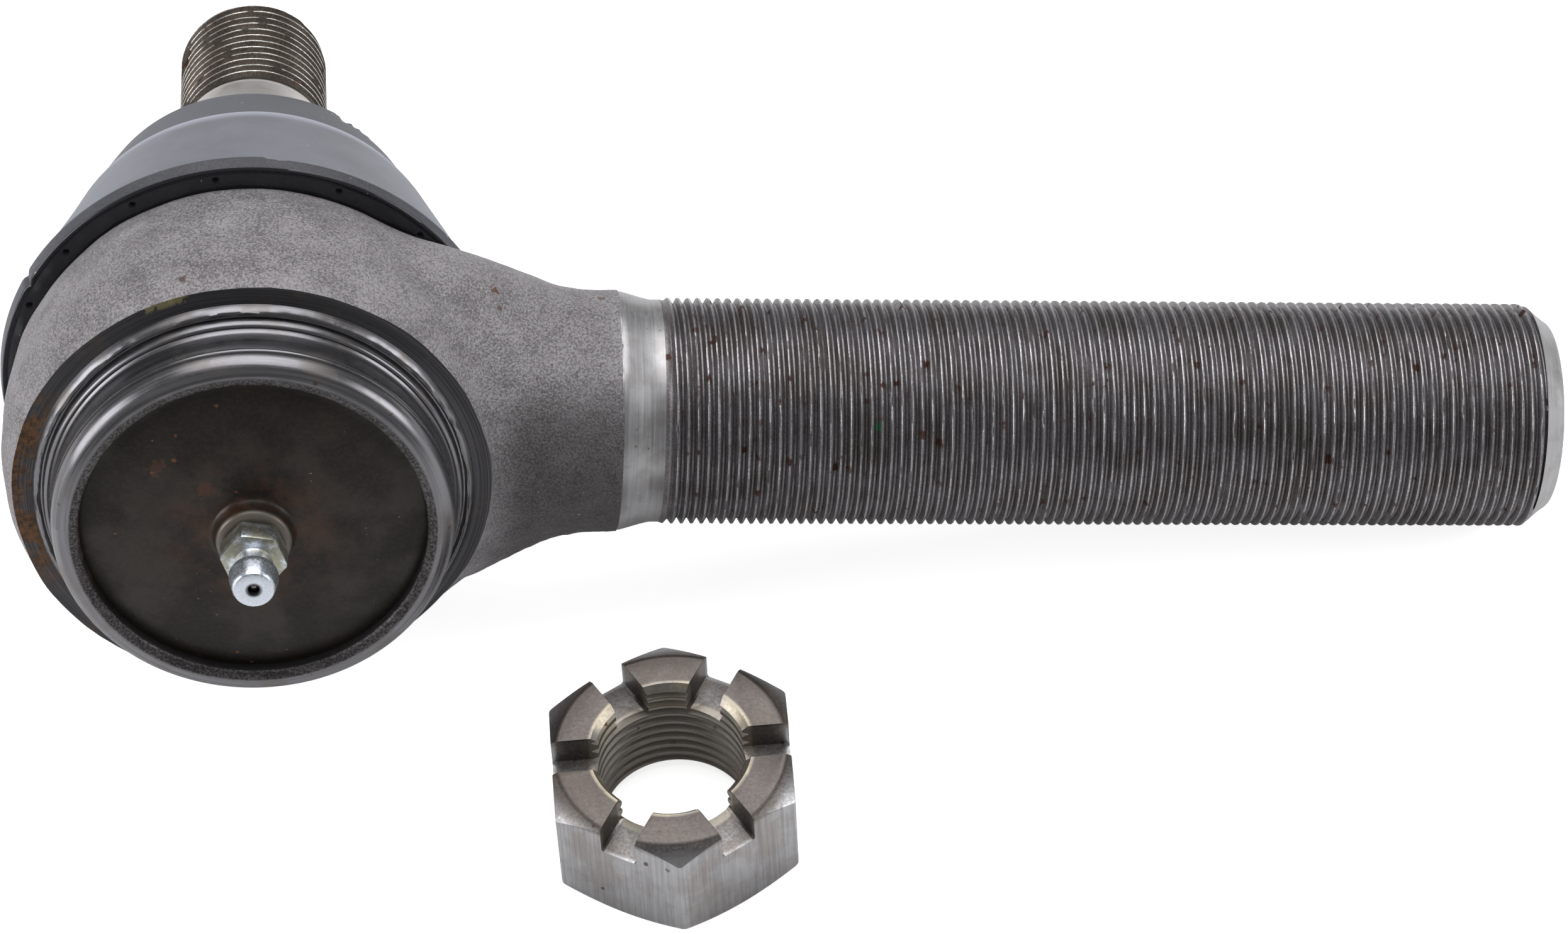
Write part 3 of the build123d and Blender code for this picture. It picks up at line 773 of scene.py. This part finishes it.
cotter = turned("cotter_drill", cotter_outline, 48)
cotter.data.transform(Matrix.Translation((0, 0, COTTER_HIGH)) @ Matrix.Rotation(COTTER_TURN, 4, "Z")
                      @ Matrix.Rotation(math.radians(90), 4, "Y"))
combine(stud, cotter, "DIFFERENCE")

stud_threads, tree, skin_of, at, colour, rubbed, scratch, dots = thread_steel(
    "stud_thread", False, STUD_R, shade(50, 45, 41), shade(80, 73, 67), shade(208, 205, 202), 0.2)
rough = rise(tree, rubbed, 0, 1, 0.45, 0.26)
dress(tree, skin_of, colour, rough, bump(tree, scratch["Height"], 0.35, 0.07))

stud_steel, tree, skin_of = material("ground_stud", Metallic=0.95)
at = drawn_place(tree)
round_at = round_about(tree, at)
lines = lathe_lines(tree, round_at, 0.18)
colour = ramp(tree, lines, 0.3, 0.7, shade(190, 186, 183), shade(214, 211, 209))
colour = stained(tree, colour, at, 4.0, 0.58, 0.1, 0.3, shade(140, 130, 118))
rough = rise(tree, lines, 0.3, 0.7, 0.32, 0.42)
dress(tree, skin_of, colour, rough, bump(tree, lines, 0.4, 0.05))


def stud_finish(x, y, z):
    return ((z > 72.5) & (z < 95.0)).astype(int)


lay_down(stud, (stud_steel, stud_threads), stud_finish, sharp=40)
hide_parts("ball_stud")
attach(stud, "stud")

# ---- cover plate ----
# A pressed steel disc, black from heat and oil, domed a little outward. Its drawn collar takes the
# grease fitting, and the socket's rim is rolled in over its edge.
PLATE_EDGE = -28.18


def along_curve(points, count):
    """Evenly spaced points of a smooth curve through listed ones."""
    points = np.array(points, float)
    run = np.concatenate([[0], np.cumsum(np.hypot(*np.diff(points, axis=0).T))])
    fit = [np.polyfit(run, points[:, axis], min(3, len(points) - 1)) for axis in (0, 1)]
    at = np.linspace(0, run[-1], count)
    return [(float(np.polyval(fit[0], t)), float(np.polyval(fit[1], t))) for t in at]


dome = along_curve([(6.3, -30.05), (14, -29.6), (19, -28.95), (22.9, PLATE_EDGE)], 16)
inner_dome = along_curve([(22.9, -26.22), (18, -27.15), (14, -27.7), (6.3, -28.15)], 12)
collar_top = [(3.0, -32.5), (3.12, -32.78), (3.35, -32.9), (4.3, -32.9), (4.75, -32.8), (5.05, -32.5),
              (5.15, -32.1), (5.22, -31.5), (5.32, -30.95), (5.5, -30.5), (5.8, -30.18)]
plate_rim = [(25.3, PLATE_EDGE), (25.5, PLATE_EDGE + 0.2), (25.5, -26.4), (25.3, -26.22)]
plate_outline = collar_top + dome + plate_rim + inner_dome + [(3.0, -28.9), (3.0, -32.5)]


def pressed_unevenly(radius, height, angle):
    """The press leaves the dome a little wavy."""
    around = np.stack([radius * np.cos(angle), radius * np.sin(angle), 0 * radius], -1).reshape(-1, 3)
    wave = hills(around, 16, 21).reshape(radius.shape)
    inside = np.clip((radius - 6.5) / 2, 0, 1) * np.clip((22 - radius) / 2, 0, 1)
    return radius, height + 0.05 * wave * inside


plate = turned("cover_plate_disc", plate_outline, 180, wander=pressed_unevenly)
plate_skin, tree, skin_of = material("oiled_black_plate", Metallic=0.3, Specular_IOR_Level=0.3,
                                     Coat_Roughness=0.3)
at = drawn_place(tree)
round_at = round_about(tree, at)
mottle = grains(tree, at, 0.6)
film = patchy(tree, at, 10.0, 0.52, 0.16)
colour = mixed(tree, film, shade(28, 24, 21), shade(40, 35, 30))
colour = laid_over(tree, colour, rise(tree, mottle["Shade"], 0.4, 0.65), 0.4, shade(50, 43, 37))
boss_rust = patchy(tree, at, 4.0, 0.5, 0.12)
near_boss = rise(tree, round_at["Radius"], 6, 15, 1.0, 0.0)
colour = laid_over(tree, colour, times(tree, boss_rust, near_boss), 0.6, shade(74, 48, 32))
colour = specked(tree, colour, at, 1.5, 0.06, 0.3, 0.6, shade(150, 138, 112))
colour = specked(tree, colour, at, 2.7, 0.12, 0.3, 0.7, shade(112, 70, 44))
for spot in ((-12.8, -9.8, -28.5), (-6.2, -6.7, -29.0)):
    colour = laid_over(tree, colour, daub(tree, at, spot, 1.8), 0.35, shade(92, 58, 38))
# Painted highlight: the top of the drawn collar is painted lighter.
painted_collar_highlight = rise(tree, round_at["Height"], -31.9, -32.7)
colour = laid_over(tree, colour, painted_collar_highlight, 0.7, shade(120, 114, 106))
socket(tree, skin_of["Coat Weight"], rise(tree, film, 0, 1, 0.03, 0.15))
rough = rise(tree, film, 0, 1, 0.42, 0.3)
dress(tree, skin_of, colour, rough, bump(tree, mottle["Height"], 0.4, 0.08))
lay_down(plate, (plate_skin,), sharp=50)
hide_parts("cover_plate")
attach(plate, "root")

# ---- grease fitting ----
# A zinc-plated steel nipple: a hexagon, a waist, and a rounded head with a hole that a small ball
# and its coil spring shut from behind. It is screwed into the plate's collar and smeared with grease.
HEX_FLATS = 8.0
head = [(2.35, -38.6), (2.35, -39.1), (2.5, -39.45), (2.95, -39.8), (3.22, -39.95), (3.32, -40.2),
        (3.32, -40.7), (3.27, -41.0), (3.1, -41.9), (2.93, -42.7), (2.82, -43.1), (2.65, -43.32),
        (2.35, -43.4), (1.5, -43.4), (0.95, -43.4), (0.8, -43.3), (0.72, -43.1), (0.72, -42.9), (1.3, -42.5)]
waist = [(3.7, -36.9), (3.2, -37.1), (2.6, -37.4), (2.4, -37.8)]
thread_end = [(1.3, -27.4), (2.8, -27.4), (2.98, -27.6), (2.98, -33.1), (3.3, -33.35), (3.7, -33.45)]
fitting_outline = thread_end + waist + head + [(1.3, -27.4)]
fitting = turned("grease_nipple", fitting_outline, 96)
corner = HEX_FLATS / 2 / math.cos(math.radians(30))
hexagon = []
for height, inset in ((-33.4, 0.35), (-33.6, 0.08), (-33.75, 0), (-36.7, 0), (-36.95, 0.12), (-37.1, 0.5)):
    for side in range(6):
        for turn in (-3, 3):
            angle = math.radians(side * 60 + turn + 8)
            reach = (corner - 0.06) - inset
            hexagon.append((reach * math.cos(angle), reach * math.sin(angle), height))
hex_faces = grid_faces(6, 12) + [tuple(range(12)), tuple(range(60, 72))]
hexagon = make_piece("hexagon", hexagon, hex_faces)
hex_bore = turned("hex_bore", [(0, -26), (1.3, -26), (1.3, -45), (0, -45)], 96)
combine(hexagon, hex_bore, "DIFFERENCE")
combine(fitting, hexagon, "UNION")
zinc, tree, skin_of = material("zinc_plate", Metallic=0.95)
at = drawn_place(tree)
round_at = round_about(tree, at)
scratch = grains(tree, at, 0.28)
colour = ramp(tree, scratch["Shade"], 0.35, 0.7, shade(196, 203, 214), shade(226, 232, 241))
smear = patchy(tree, at, 2.4, 0.47, 0.1)
low_down = rise(tree, round_at["Height"], -39.2, -37.0)
smear = times(tree, smear, low_down)
colour = laid_over(tree, colour, smear, 0.7, shade(124, 116, 62))
# Painted shade: the rim and the entry of the hole in the head are painted dark.
painted_shade_at_hole = rise(tree, round_at["Radius"], 1.3, 0.9, 0.0, 0.85)
colour = mixed(tree, painted_shade_at_hole, colour, shade(58, 56, 58))
rough = plus(tree, rise(tree, scratch["Height"], 0.3, 0.7, 0.24, 0.36), times(tree, smear, 0.1))
dress(tree, skin_of, colour, rough, bump(tree, scratch["Height"], 0.3, 0.05))
lay_down(fitting, (zinc,), sharp=32)
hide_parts("grease_fitting")
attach(fitting, "root")
carry("grease_check_ball", bearing_steel)
carry("grease_check_spring", spring_steel)

# ---- dust boot ----
# One moulding of black rubber over a steel base ring, with a waxy bloom on its cone; the cone's lighter,
# bluer colour is partly that bloom and partly painted sheen. The thick neck turns on a plastic bush round
# the stud, and the vents under the rim let old grease out.
BOOT_STEPS = 400
boot_base = [(26.9, 7.0), (27.1, 6.8), (29.5, 6.8), (31.6, 6.8), (32.4, 6.8), (32.9, 6.8), (33.3, 6.8),
             (33.7, 6.8), (34.05, 6.8), (34.2, 7.35), (34.35, 7.4), (34.5, 6.85), (34.8, 6.8), (34.93, 6.9)]
boot_rim = [(35.02, 7.4), (35.15, 8.1), (35.28, 8.9), (35.3, 9.15), (35.2, 9.3), (34.9, 9.38), (34.72, 9.5),
            (34.6, 9.8)]
cone = [(34.6 + (27.75 - 34.6) * t, 9.8 + (34.0 - 9.8) * t) for t in np.linspace(0.03, 1, 34)]
ridge = [(27.62, 34.35), (27.5, 34.65), (27.36, 34.9), (27.18, 35.15), (27.0, 35.45)]
band = [(27.0 + (23.55 - 27.0) * t, 35.45 + (46.4 - 35.45) * t) for t in np.linspace(0.06, 1, 18)]
boot_top = [(23.42, 46.75), (23.25, 47.0), (23.0, 47.1), (22, 47.1), (20, 47.12), (17, 47.1), (15, 47.1),
            (13.7, 47.05), (13.4, 46.8)]
boot_inside = [(13.4, 43.2), (13.6, 43.0), (17.2, 43.0), (17.2, 38.4), (24.2, 34.4), (28.05, 23.6),
               (31.9, 13.0), (31.0, 12.4), (27.1, 12.4), (26.9, 12.2), (26.9, 7.0)]
boot_outline = boot_base + boot_rim + cone + ridge + band + boot_top + boot_inside
VENT_ANGLES = (-158.1, -140.6, -120.0, -99.2, -69.8, -47.0, -20.0, 20.0, 62.0, 101.0, 140.0)
STEP_TURN = math.radians(-87.8)


def moulded(radius, height, angle):
    """Raised arcs between the vents, the step and nick in the rim, and flash torn from the top."""
    turn = angle + 0 * radius
    under = (height < 7.0) & (radius > 30)
    pad = np.zeros_like(turn)
    for vent in VENT_ANGLES:
        away = (turn - math.radians(vent) + math.pi) % (2 * math.pi) - math.pi
        pad += np.clip(1 - np.abs(np.abs(away) - 0.11) / 0.055, 0, 1)
    around = np.stack([np.cos(angle[0]) * 6, np.sin(angle[0]) * 6, 0 * angle[0]], 1)
    ripple = hills(around, 2.0, 31)[None, :]
    on_pad = np.clip(1 - np.abs(radius - 33.1) / 0.8, 0, 1) * pad
    height = height - under * on_pad * 0.25 + under * 0.05 * ripple
    side = turn - 2 * math.pi * (turn > math.pi)
    past_step = np.clip((side - STEP_TURN) / 0.008, 0, 1) * np.clip((1.9 - side) / 0.3, 0, 1)
    rim = np.clip((radius - 34.6) / 0.4, 0, 1) * (height > 8.5) * (height < 9.7)
    height = height - rim * past_step * 0.42
    torn = np.clip(1 - np.abs(side - STEP_TURN - 0.055) / 0.035, 0, 1)
    height = height - rim * torn * (0.25 + 0.18 * np.sin(turn * 170))
    notch = np.clip(1 - np.abs(turn - 2 * math.pi - math.radians(-152.9)) / 0.022, 0, 1)
    radius = radius - notch * 0.45 * ((radius > 34.3) & (height < 10))
    flash = np.clip((side + 1.05) / 0.05, 0, 1) * np.clip((-0.55 - side) / 0.08, 0, 1)
    saw = np.abs(hills(np.stack([side[0] * 30, side[0] * 0, side[0] * 0], 1), 3.2, 33))[None, :]
    edge = (height > 43.5) * (radius > 20)
    radius = radius - edge * flash * (0.15 + 0.5 * np.clip(saw, 0, 1.2))
    soft = hills(np.stack([radius * np.cos(turn), radius * np.sin(turn), height], -1).reshape(-1, 3), 22, 34)
    outer = (height > 9.5) * (height < 46) * (radius > 22)
    return radius + outer * 0.06 * soft.reshape(radius.shape), height


boot = turned("dust_boot_rubber", boot_outline, BOOT_STEPS, wander=moulded)
for vent in VENT_ANGLES:
    spin = math.radians(vent)
    drill = turned("vent", [(0, 5.5), (0.62, 5.5), (0.62, 6.7), (0.5, 6.95), (0.42, 7.9), (0, 8.0)], 20)
    drill.data.transform(Matrix.Translation((33.3 * math.cos(spin), 33.3 * math.sin(spin), 0)))
    combine(boot, drill, "DIFFERENCE")

rubber, tree, skin_of = material("boot_rubber", Sheen_Weight=0.16, Sheen_Roughness=0.45,
                                 Sheen_Tint=(0.78, 0.84, 1.0, 1.0))
at = drawn_place(tree)
round_at = round_about(tree, at)
pores = grains(tree, at, 0.4)
bloom = patchy(tree, at, 14.0, 0.5, 0.2)
high = round_at["Height"]
on_cone = times(tree, rise(tree, high, 9.2, 9.6), rise(tree, high, 35.9, 34.9))
colour = ramp(tree, pores["Shade"], 0.35, 0.7, shade(58, 58, 63), shade(76, 76, 82))
# The cone is painted lighter and bluer: partly its waxy bloom, partly painted sheen where it takes the light
# at a grazing angle.
bloom_and_sheen = mixed(tree, bloom, shade(70, 70, 78), shade(90, 92, 103))
colour = mixed(tree, on_cone, colour, bloom_and_sheen)
# Painted highlight: a soft light band on the cone just below the ridge.
painted_ridge_highlight = times(tree, rise(tree, high, 31.0, 34.6), rise(tree, high, 35.9, 35.1))
colour = laid_over(tree, colour, painted_ridge_highlight, 0.75, shade(160, 164, 180))
# Painted shade: the band above the ridge and the top of the boot are painted darker, where they face away
# from the light.
painted_shade_top_band = rise(tree, high, 35.4, 36.0, 0.0, 0.6)
colour = mixed(tree, painted_shade_top_band, colour, shade(34, 34, 39))
# Painted shade: the underside of the rim is painted much darker, where shade falls under the boot.
under = rise(tree, high, 7.1, 6.9)
colour = mixed(tree, under, colour, shade(24, 24, 27))
colour = specked(tree, colour, at, 1.9, 0.1, 0.3, 0.5, shade(170, 168, 160))
colour = specked(tree, colour, at, 2.6, 0.08, 0.3, 0.7, shade(28, 28, 30))
rough = sums(tree, "SUBTRACT", rise(tree, on_cone, 0, 1, 0.54, 0.44), times(tree, under, 0.28))
dress(tree, skin_of, colour, rough, bump(tree, pores["Height"], 0.22, 0.06))
lay_down(boot, (rubber,), sharp=42)
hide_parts("dust_boot")
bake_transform(boot)
ring_steel = carried_finish("ring_steel", shade(128, 128, 130), shade(170, 170, 172),
                            0.9, 0.4, 0.25, shade(110, 96, 78))
bush_plastic = carried_finish("bush_plastic", shade(206, 200, 184), shade(226, 221, 206),
                              0.0, 0.48, 0.4, shade(190, 178, 150))
carry("boot_base_ring", ring_steel)
carry("boot_neck_ring", bush_plastic)

# ---- castle nut ----
# Cold-formed steel, plain finish: a hexagon with chamfered corners, six milled slots for the cotter
# pin and a tapped hole, 14 to the inch. It is packed loose, and stands beside the part.
NUT_FLATS = 32.6
NUT_HEIGHT = 18.0
NUT_PLACE = Vector((54.75, -49.95, 0))
NUT_TURN = math.radians(0.7)
CORNER_ROUND = 0.9
SLOT_FLOOR = 13.15
centre = (NUT_FLATS / 2 - CORNER_ROUND) / math.cos(math.radians(30))
nut_points = []
for height in (0, NUT_HEIGHT):
    for side in range(6):
        middle = math.radians(side * 60 + 30)
        for turn in np.radians((-30, -15, 0, 15, 30)):
            nut_points.append((centre * math.cos(middle) + CORNER_ROUND * math.cos(middle + turn),
                               centre * math.sin(middle) + CORNER_ROUND * math.sin(middle + turn), height))
nut_faces = grid_faces(2, 30) + [tuple(range(30)), tuple(range(30, 60))]
nut = make_piece("castle_nut_body", nut_points, nut_faces)
nut_shape = [(0, 0), (15.5, 0), (16.0, 0.12), (19.6, 2.2), (19.6, NUT_HEIGHT - 2.5),
             (16.1, NUT_HEIGHT - 0.22), (15.75, NUT_HEIGHT - 0.05), (15.4, NUT_HEIGHT), (0, NUT_HEIGHT)]
combine(nut, turned("nut_shape", nut_shape, 144), "INTERSECT")
slot_sides = ((-2.6, SLOT_FLOOR + 0.3), (-2.3, SLOT_FLOOR), (2.3, SLOT_FLOOR), (2.6, SLOT_FLOOR + 0.3),
              (2.6, 22), (-2.6, 22))
slot_points = [(x, y, z) for x in (-25.0, 25.0) for y, z in slot_sides]
for side in range(3):
    slot_tool = make_piece("slot", slot_points, grid_faces(2, 6) + [tuple(range(6)), tuple(range(6, 12))])
    slot_tool.data.transform(Matrix.Rotation(side * math.pi / 3, 4, "Z"))
    combine(nut, slot_tool, "DIFFERENCE")
nut_bore = [(0, -1), (12.6, -1), (11.6, 0), (10.15, 1.45), (10.15, NUT_HEIGHT - 0.95), (11.1, NUT_HEIGHT),
            (12.1, NUT_HEIGHT + 1), (0, NUT_HEIGHT + 1)]
combine(nut, turned("nut_bore", nut_bore, 128), "DIFFERENCE")
soften = nut.modifiers.new("soften", "BEVEL")
soften.width = 0.28
soften.segments = 3
soften.limit_method = "ANGLE"
soften.angle_limit = math.radians(26)
soften.use_clamp_overlap = True
settle(nut)
nut_profile = ((0.0, 0.98), (0.1, 0.98), (0.22, 0.9), (0.44, 0.12), (0.5, 0.02), (0.56, 0.12), (0.78, 0.9),
               (0.9, 0.98))
tap = threaded("nut_tap", (-3.0, 22.0), 11.12, STUD_PITCH, nut_profile, 120, [(0, -3.0), (10.0, -3.0)],
               [(10.0, 22.0), (0, 22.0)], seed=17)
combine(nut, tap, "DIFFERENCE")

nut_steel, tree, skin_of = material("plain_nut", Metallic=0.9)
at = drawn_place(tree)
round_at = round_about(tree, at)
parts = node(tree, "SeparateXYZ", (at,)).outputs
drawn_out = node(tree, "Mapping", {"Vector": at, "Scale": (2.2, 2.2, 0.07)}).outputs[0]
streaks = noise(tree, drawn_out, 1.0, 5.0, 0.65)
scratch = grains(tree, at, 0.35)
on_side = rise(tree, round_at["Radius"], 15.6, 16.3)
on_side = times(tree, on_side, rise(tree, parts[2], 17.6, 16.2))
# The top face and the chamfers are painted darker than the flats: partly their worked finish, partly painted
# shade where they face away from the light.
brushed = ramp(tree, streaks, 0.34, 0.66, shade(154, 153, 156), shade(176, 176, 179))
worked_and_shaded = ramp(tree, scratch["Shade"], 0.38, 0.64, shade(98, 96, 95), shade(124, 121, 120))
colour = mixed(tree, on_side, worked_and_shaded, brushed)
film = patchy(tree, at, 7.0, 0.52, 0.12)
colour = laid_over(tree, colour, film, 0.4, shade(128, 116, 106))
# Painted shade: the top face is painted darker again.
painted_shade_on_top = rise(tree, parts[2], 17.6, 17.9)
colour = laid_over(tree, colour, painted_shade_on_top, 0.75, shade(82, 75, 71))
inside = rise(tree, round_at["Radius"], 11.7, 11.2)
film_inside = patchy(tree, at, 5.0, 0.48, 0.1)
deposit = times(tree, times(tree, inside, film_inside), rise(tree, parts[2], 12.0, 15.0))
colour = laid_over(tree, colour, inside, 0.7, shade(152, 146, 138))
colour = laid_over(tree, colour, deposit, 0.4, shade(186, 174, 146))
stain = dotted(tree, at, 2.2, 0.2, 0.3)
stain_here = patchy(tree, at, 4.0, 0.52, 0.08)
colour = laid_over(tree, colour, times(tree, stain, stain_here), 0.85, shade(82, 58, 44))
rough = plus(tree, rise(tree, streaks, 0.3, 0.7, 0.42, 0.3), times(tree, film, 0.08))
first = bump(tree, times(tree, streaks, on_side), 0.2, 0.05)
dress(tree, skin_of, colour, rough, bump(tree, scratch["Height"], 0.2, 0.04, first))
stand = Matrix.Translation(NUT_PLACE * MM + Vector((0, 0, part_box("castle_nut")[0].z)))
lay_down(nut, (nut_steel,), sharp=32, lie=stand @ Matrix.Rotation(NUT_TURN, 4, "Z"))
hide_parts("castle_nut")
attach(nut, "nut")

# ---- bench, studio light and camera ----
# A white sweep under a soft overhead light, with softer panels to the left and the right.
bench_z = min(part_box(name)[0].z for name in ("castle_nut", "dust_boot"))
floor_mesh = bpy.data.meshes.new("floor")
corners = [(-3, -3, bench_z), (3, -3, bench_z), (3, 3, bench_z), (-3, 3, bench_z)]
floor_mesh.from_pydata(corners, [], [(0, 1, 2, 3)])
floor = put("floor", floor_mesh)
paper, tree, skin_of = material("white_paper", Roughness=0.9)
lying = node(tree, "TexCoord").outputs["Object"]
fibres = noise(tree, lying, 60.0, 4.0)
socket(tree, skin_of["Base Color"], mixed(tree, fibres, (0.9, 0.9, 0.9, 1), (0.94, 0.94, 0.94, 1)))
skin_of["Emission Color"].default_value = (1, 1, 1, 1)
seen = node(tree, "LightPath").outputs["Is Camera Ray"]
socket(tree, skin_of["Emission Strength"], times(tree, seen, 0.8))
floor_mesh.materials.append(paper)

room = bpy.data.worlds.new("studio")
room.use_nodes = True
room.node_tree.nodes["Background"].inputs["Color"].default_value = (1, 1, 1, 1)
room.node_tree.nodes["Background"].inputs["Strength"].default_value = 0.2
bpy.context.scene.world = room
middle = Vector((0.07, 0.0, 0.0))
for name, place, size, power in (
    ("overhead", (0.08, 0.3, 0.9), 1.0, 9.5),
    ("left_panel", (-0.9, -0.2, 0.35), 0.6, 5.0),
    ("right_panel", (0.95, -0.1, 0.4), 0.5, 3.2),
):
    lamp_data = bpy.data.lights.new(name, "AREA")
    lamp_data.shape = "SQUARE"
    lamp_data.size = size
    lamp_data.energy = power
    lamp = put(name, lamp_data)
    lamp.location = place
    lamp.rotation_euler = (middle - Vector(place)).to_track_quat("-Z", "Y").to_euler()

camera_data = bpy.data.cameras.new("camera")
camera_data.lens = 117.658
camera_data.sensor_width = 36.0
camera_data.clip_start = 0.01
camera = put("camera", camera_data)
camera.location = (0.061025, -0.465476, 0.542576)
aim = Vector((0.07371, 0.01292, -0.03647))
level = (aim - camera.location).to_track_quat("-Z", "Y")
camera.rotation_mode = "QUATERNION"
camera.rotation_quaternion = level @ Matrix.Rotation(math.radians(-2.8357), 3, "Z").to_quaternion()
bpy.context.scene.camera = camera
bpy.context.scene.view_settings.view_transform = "Standard"
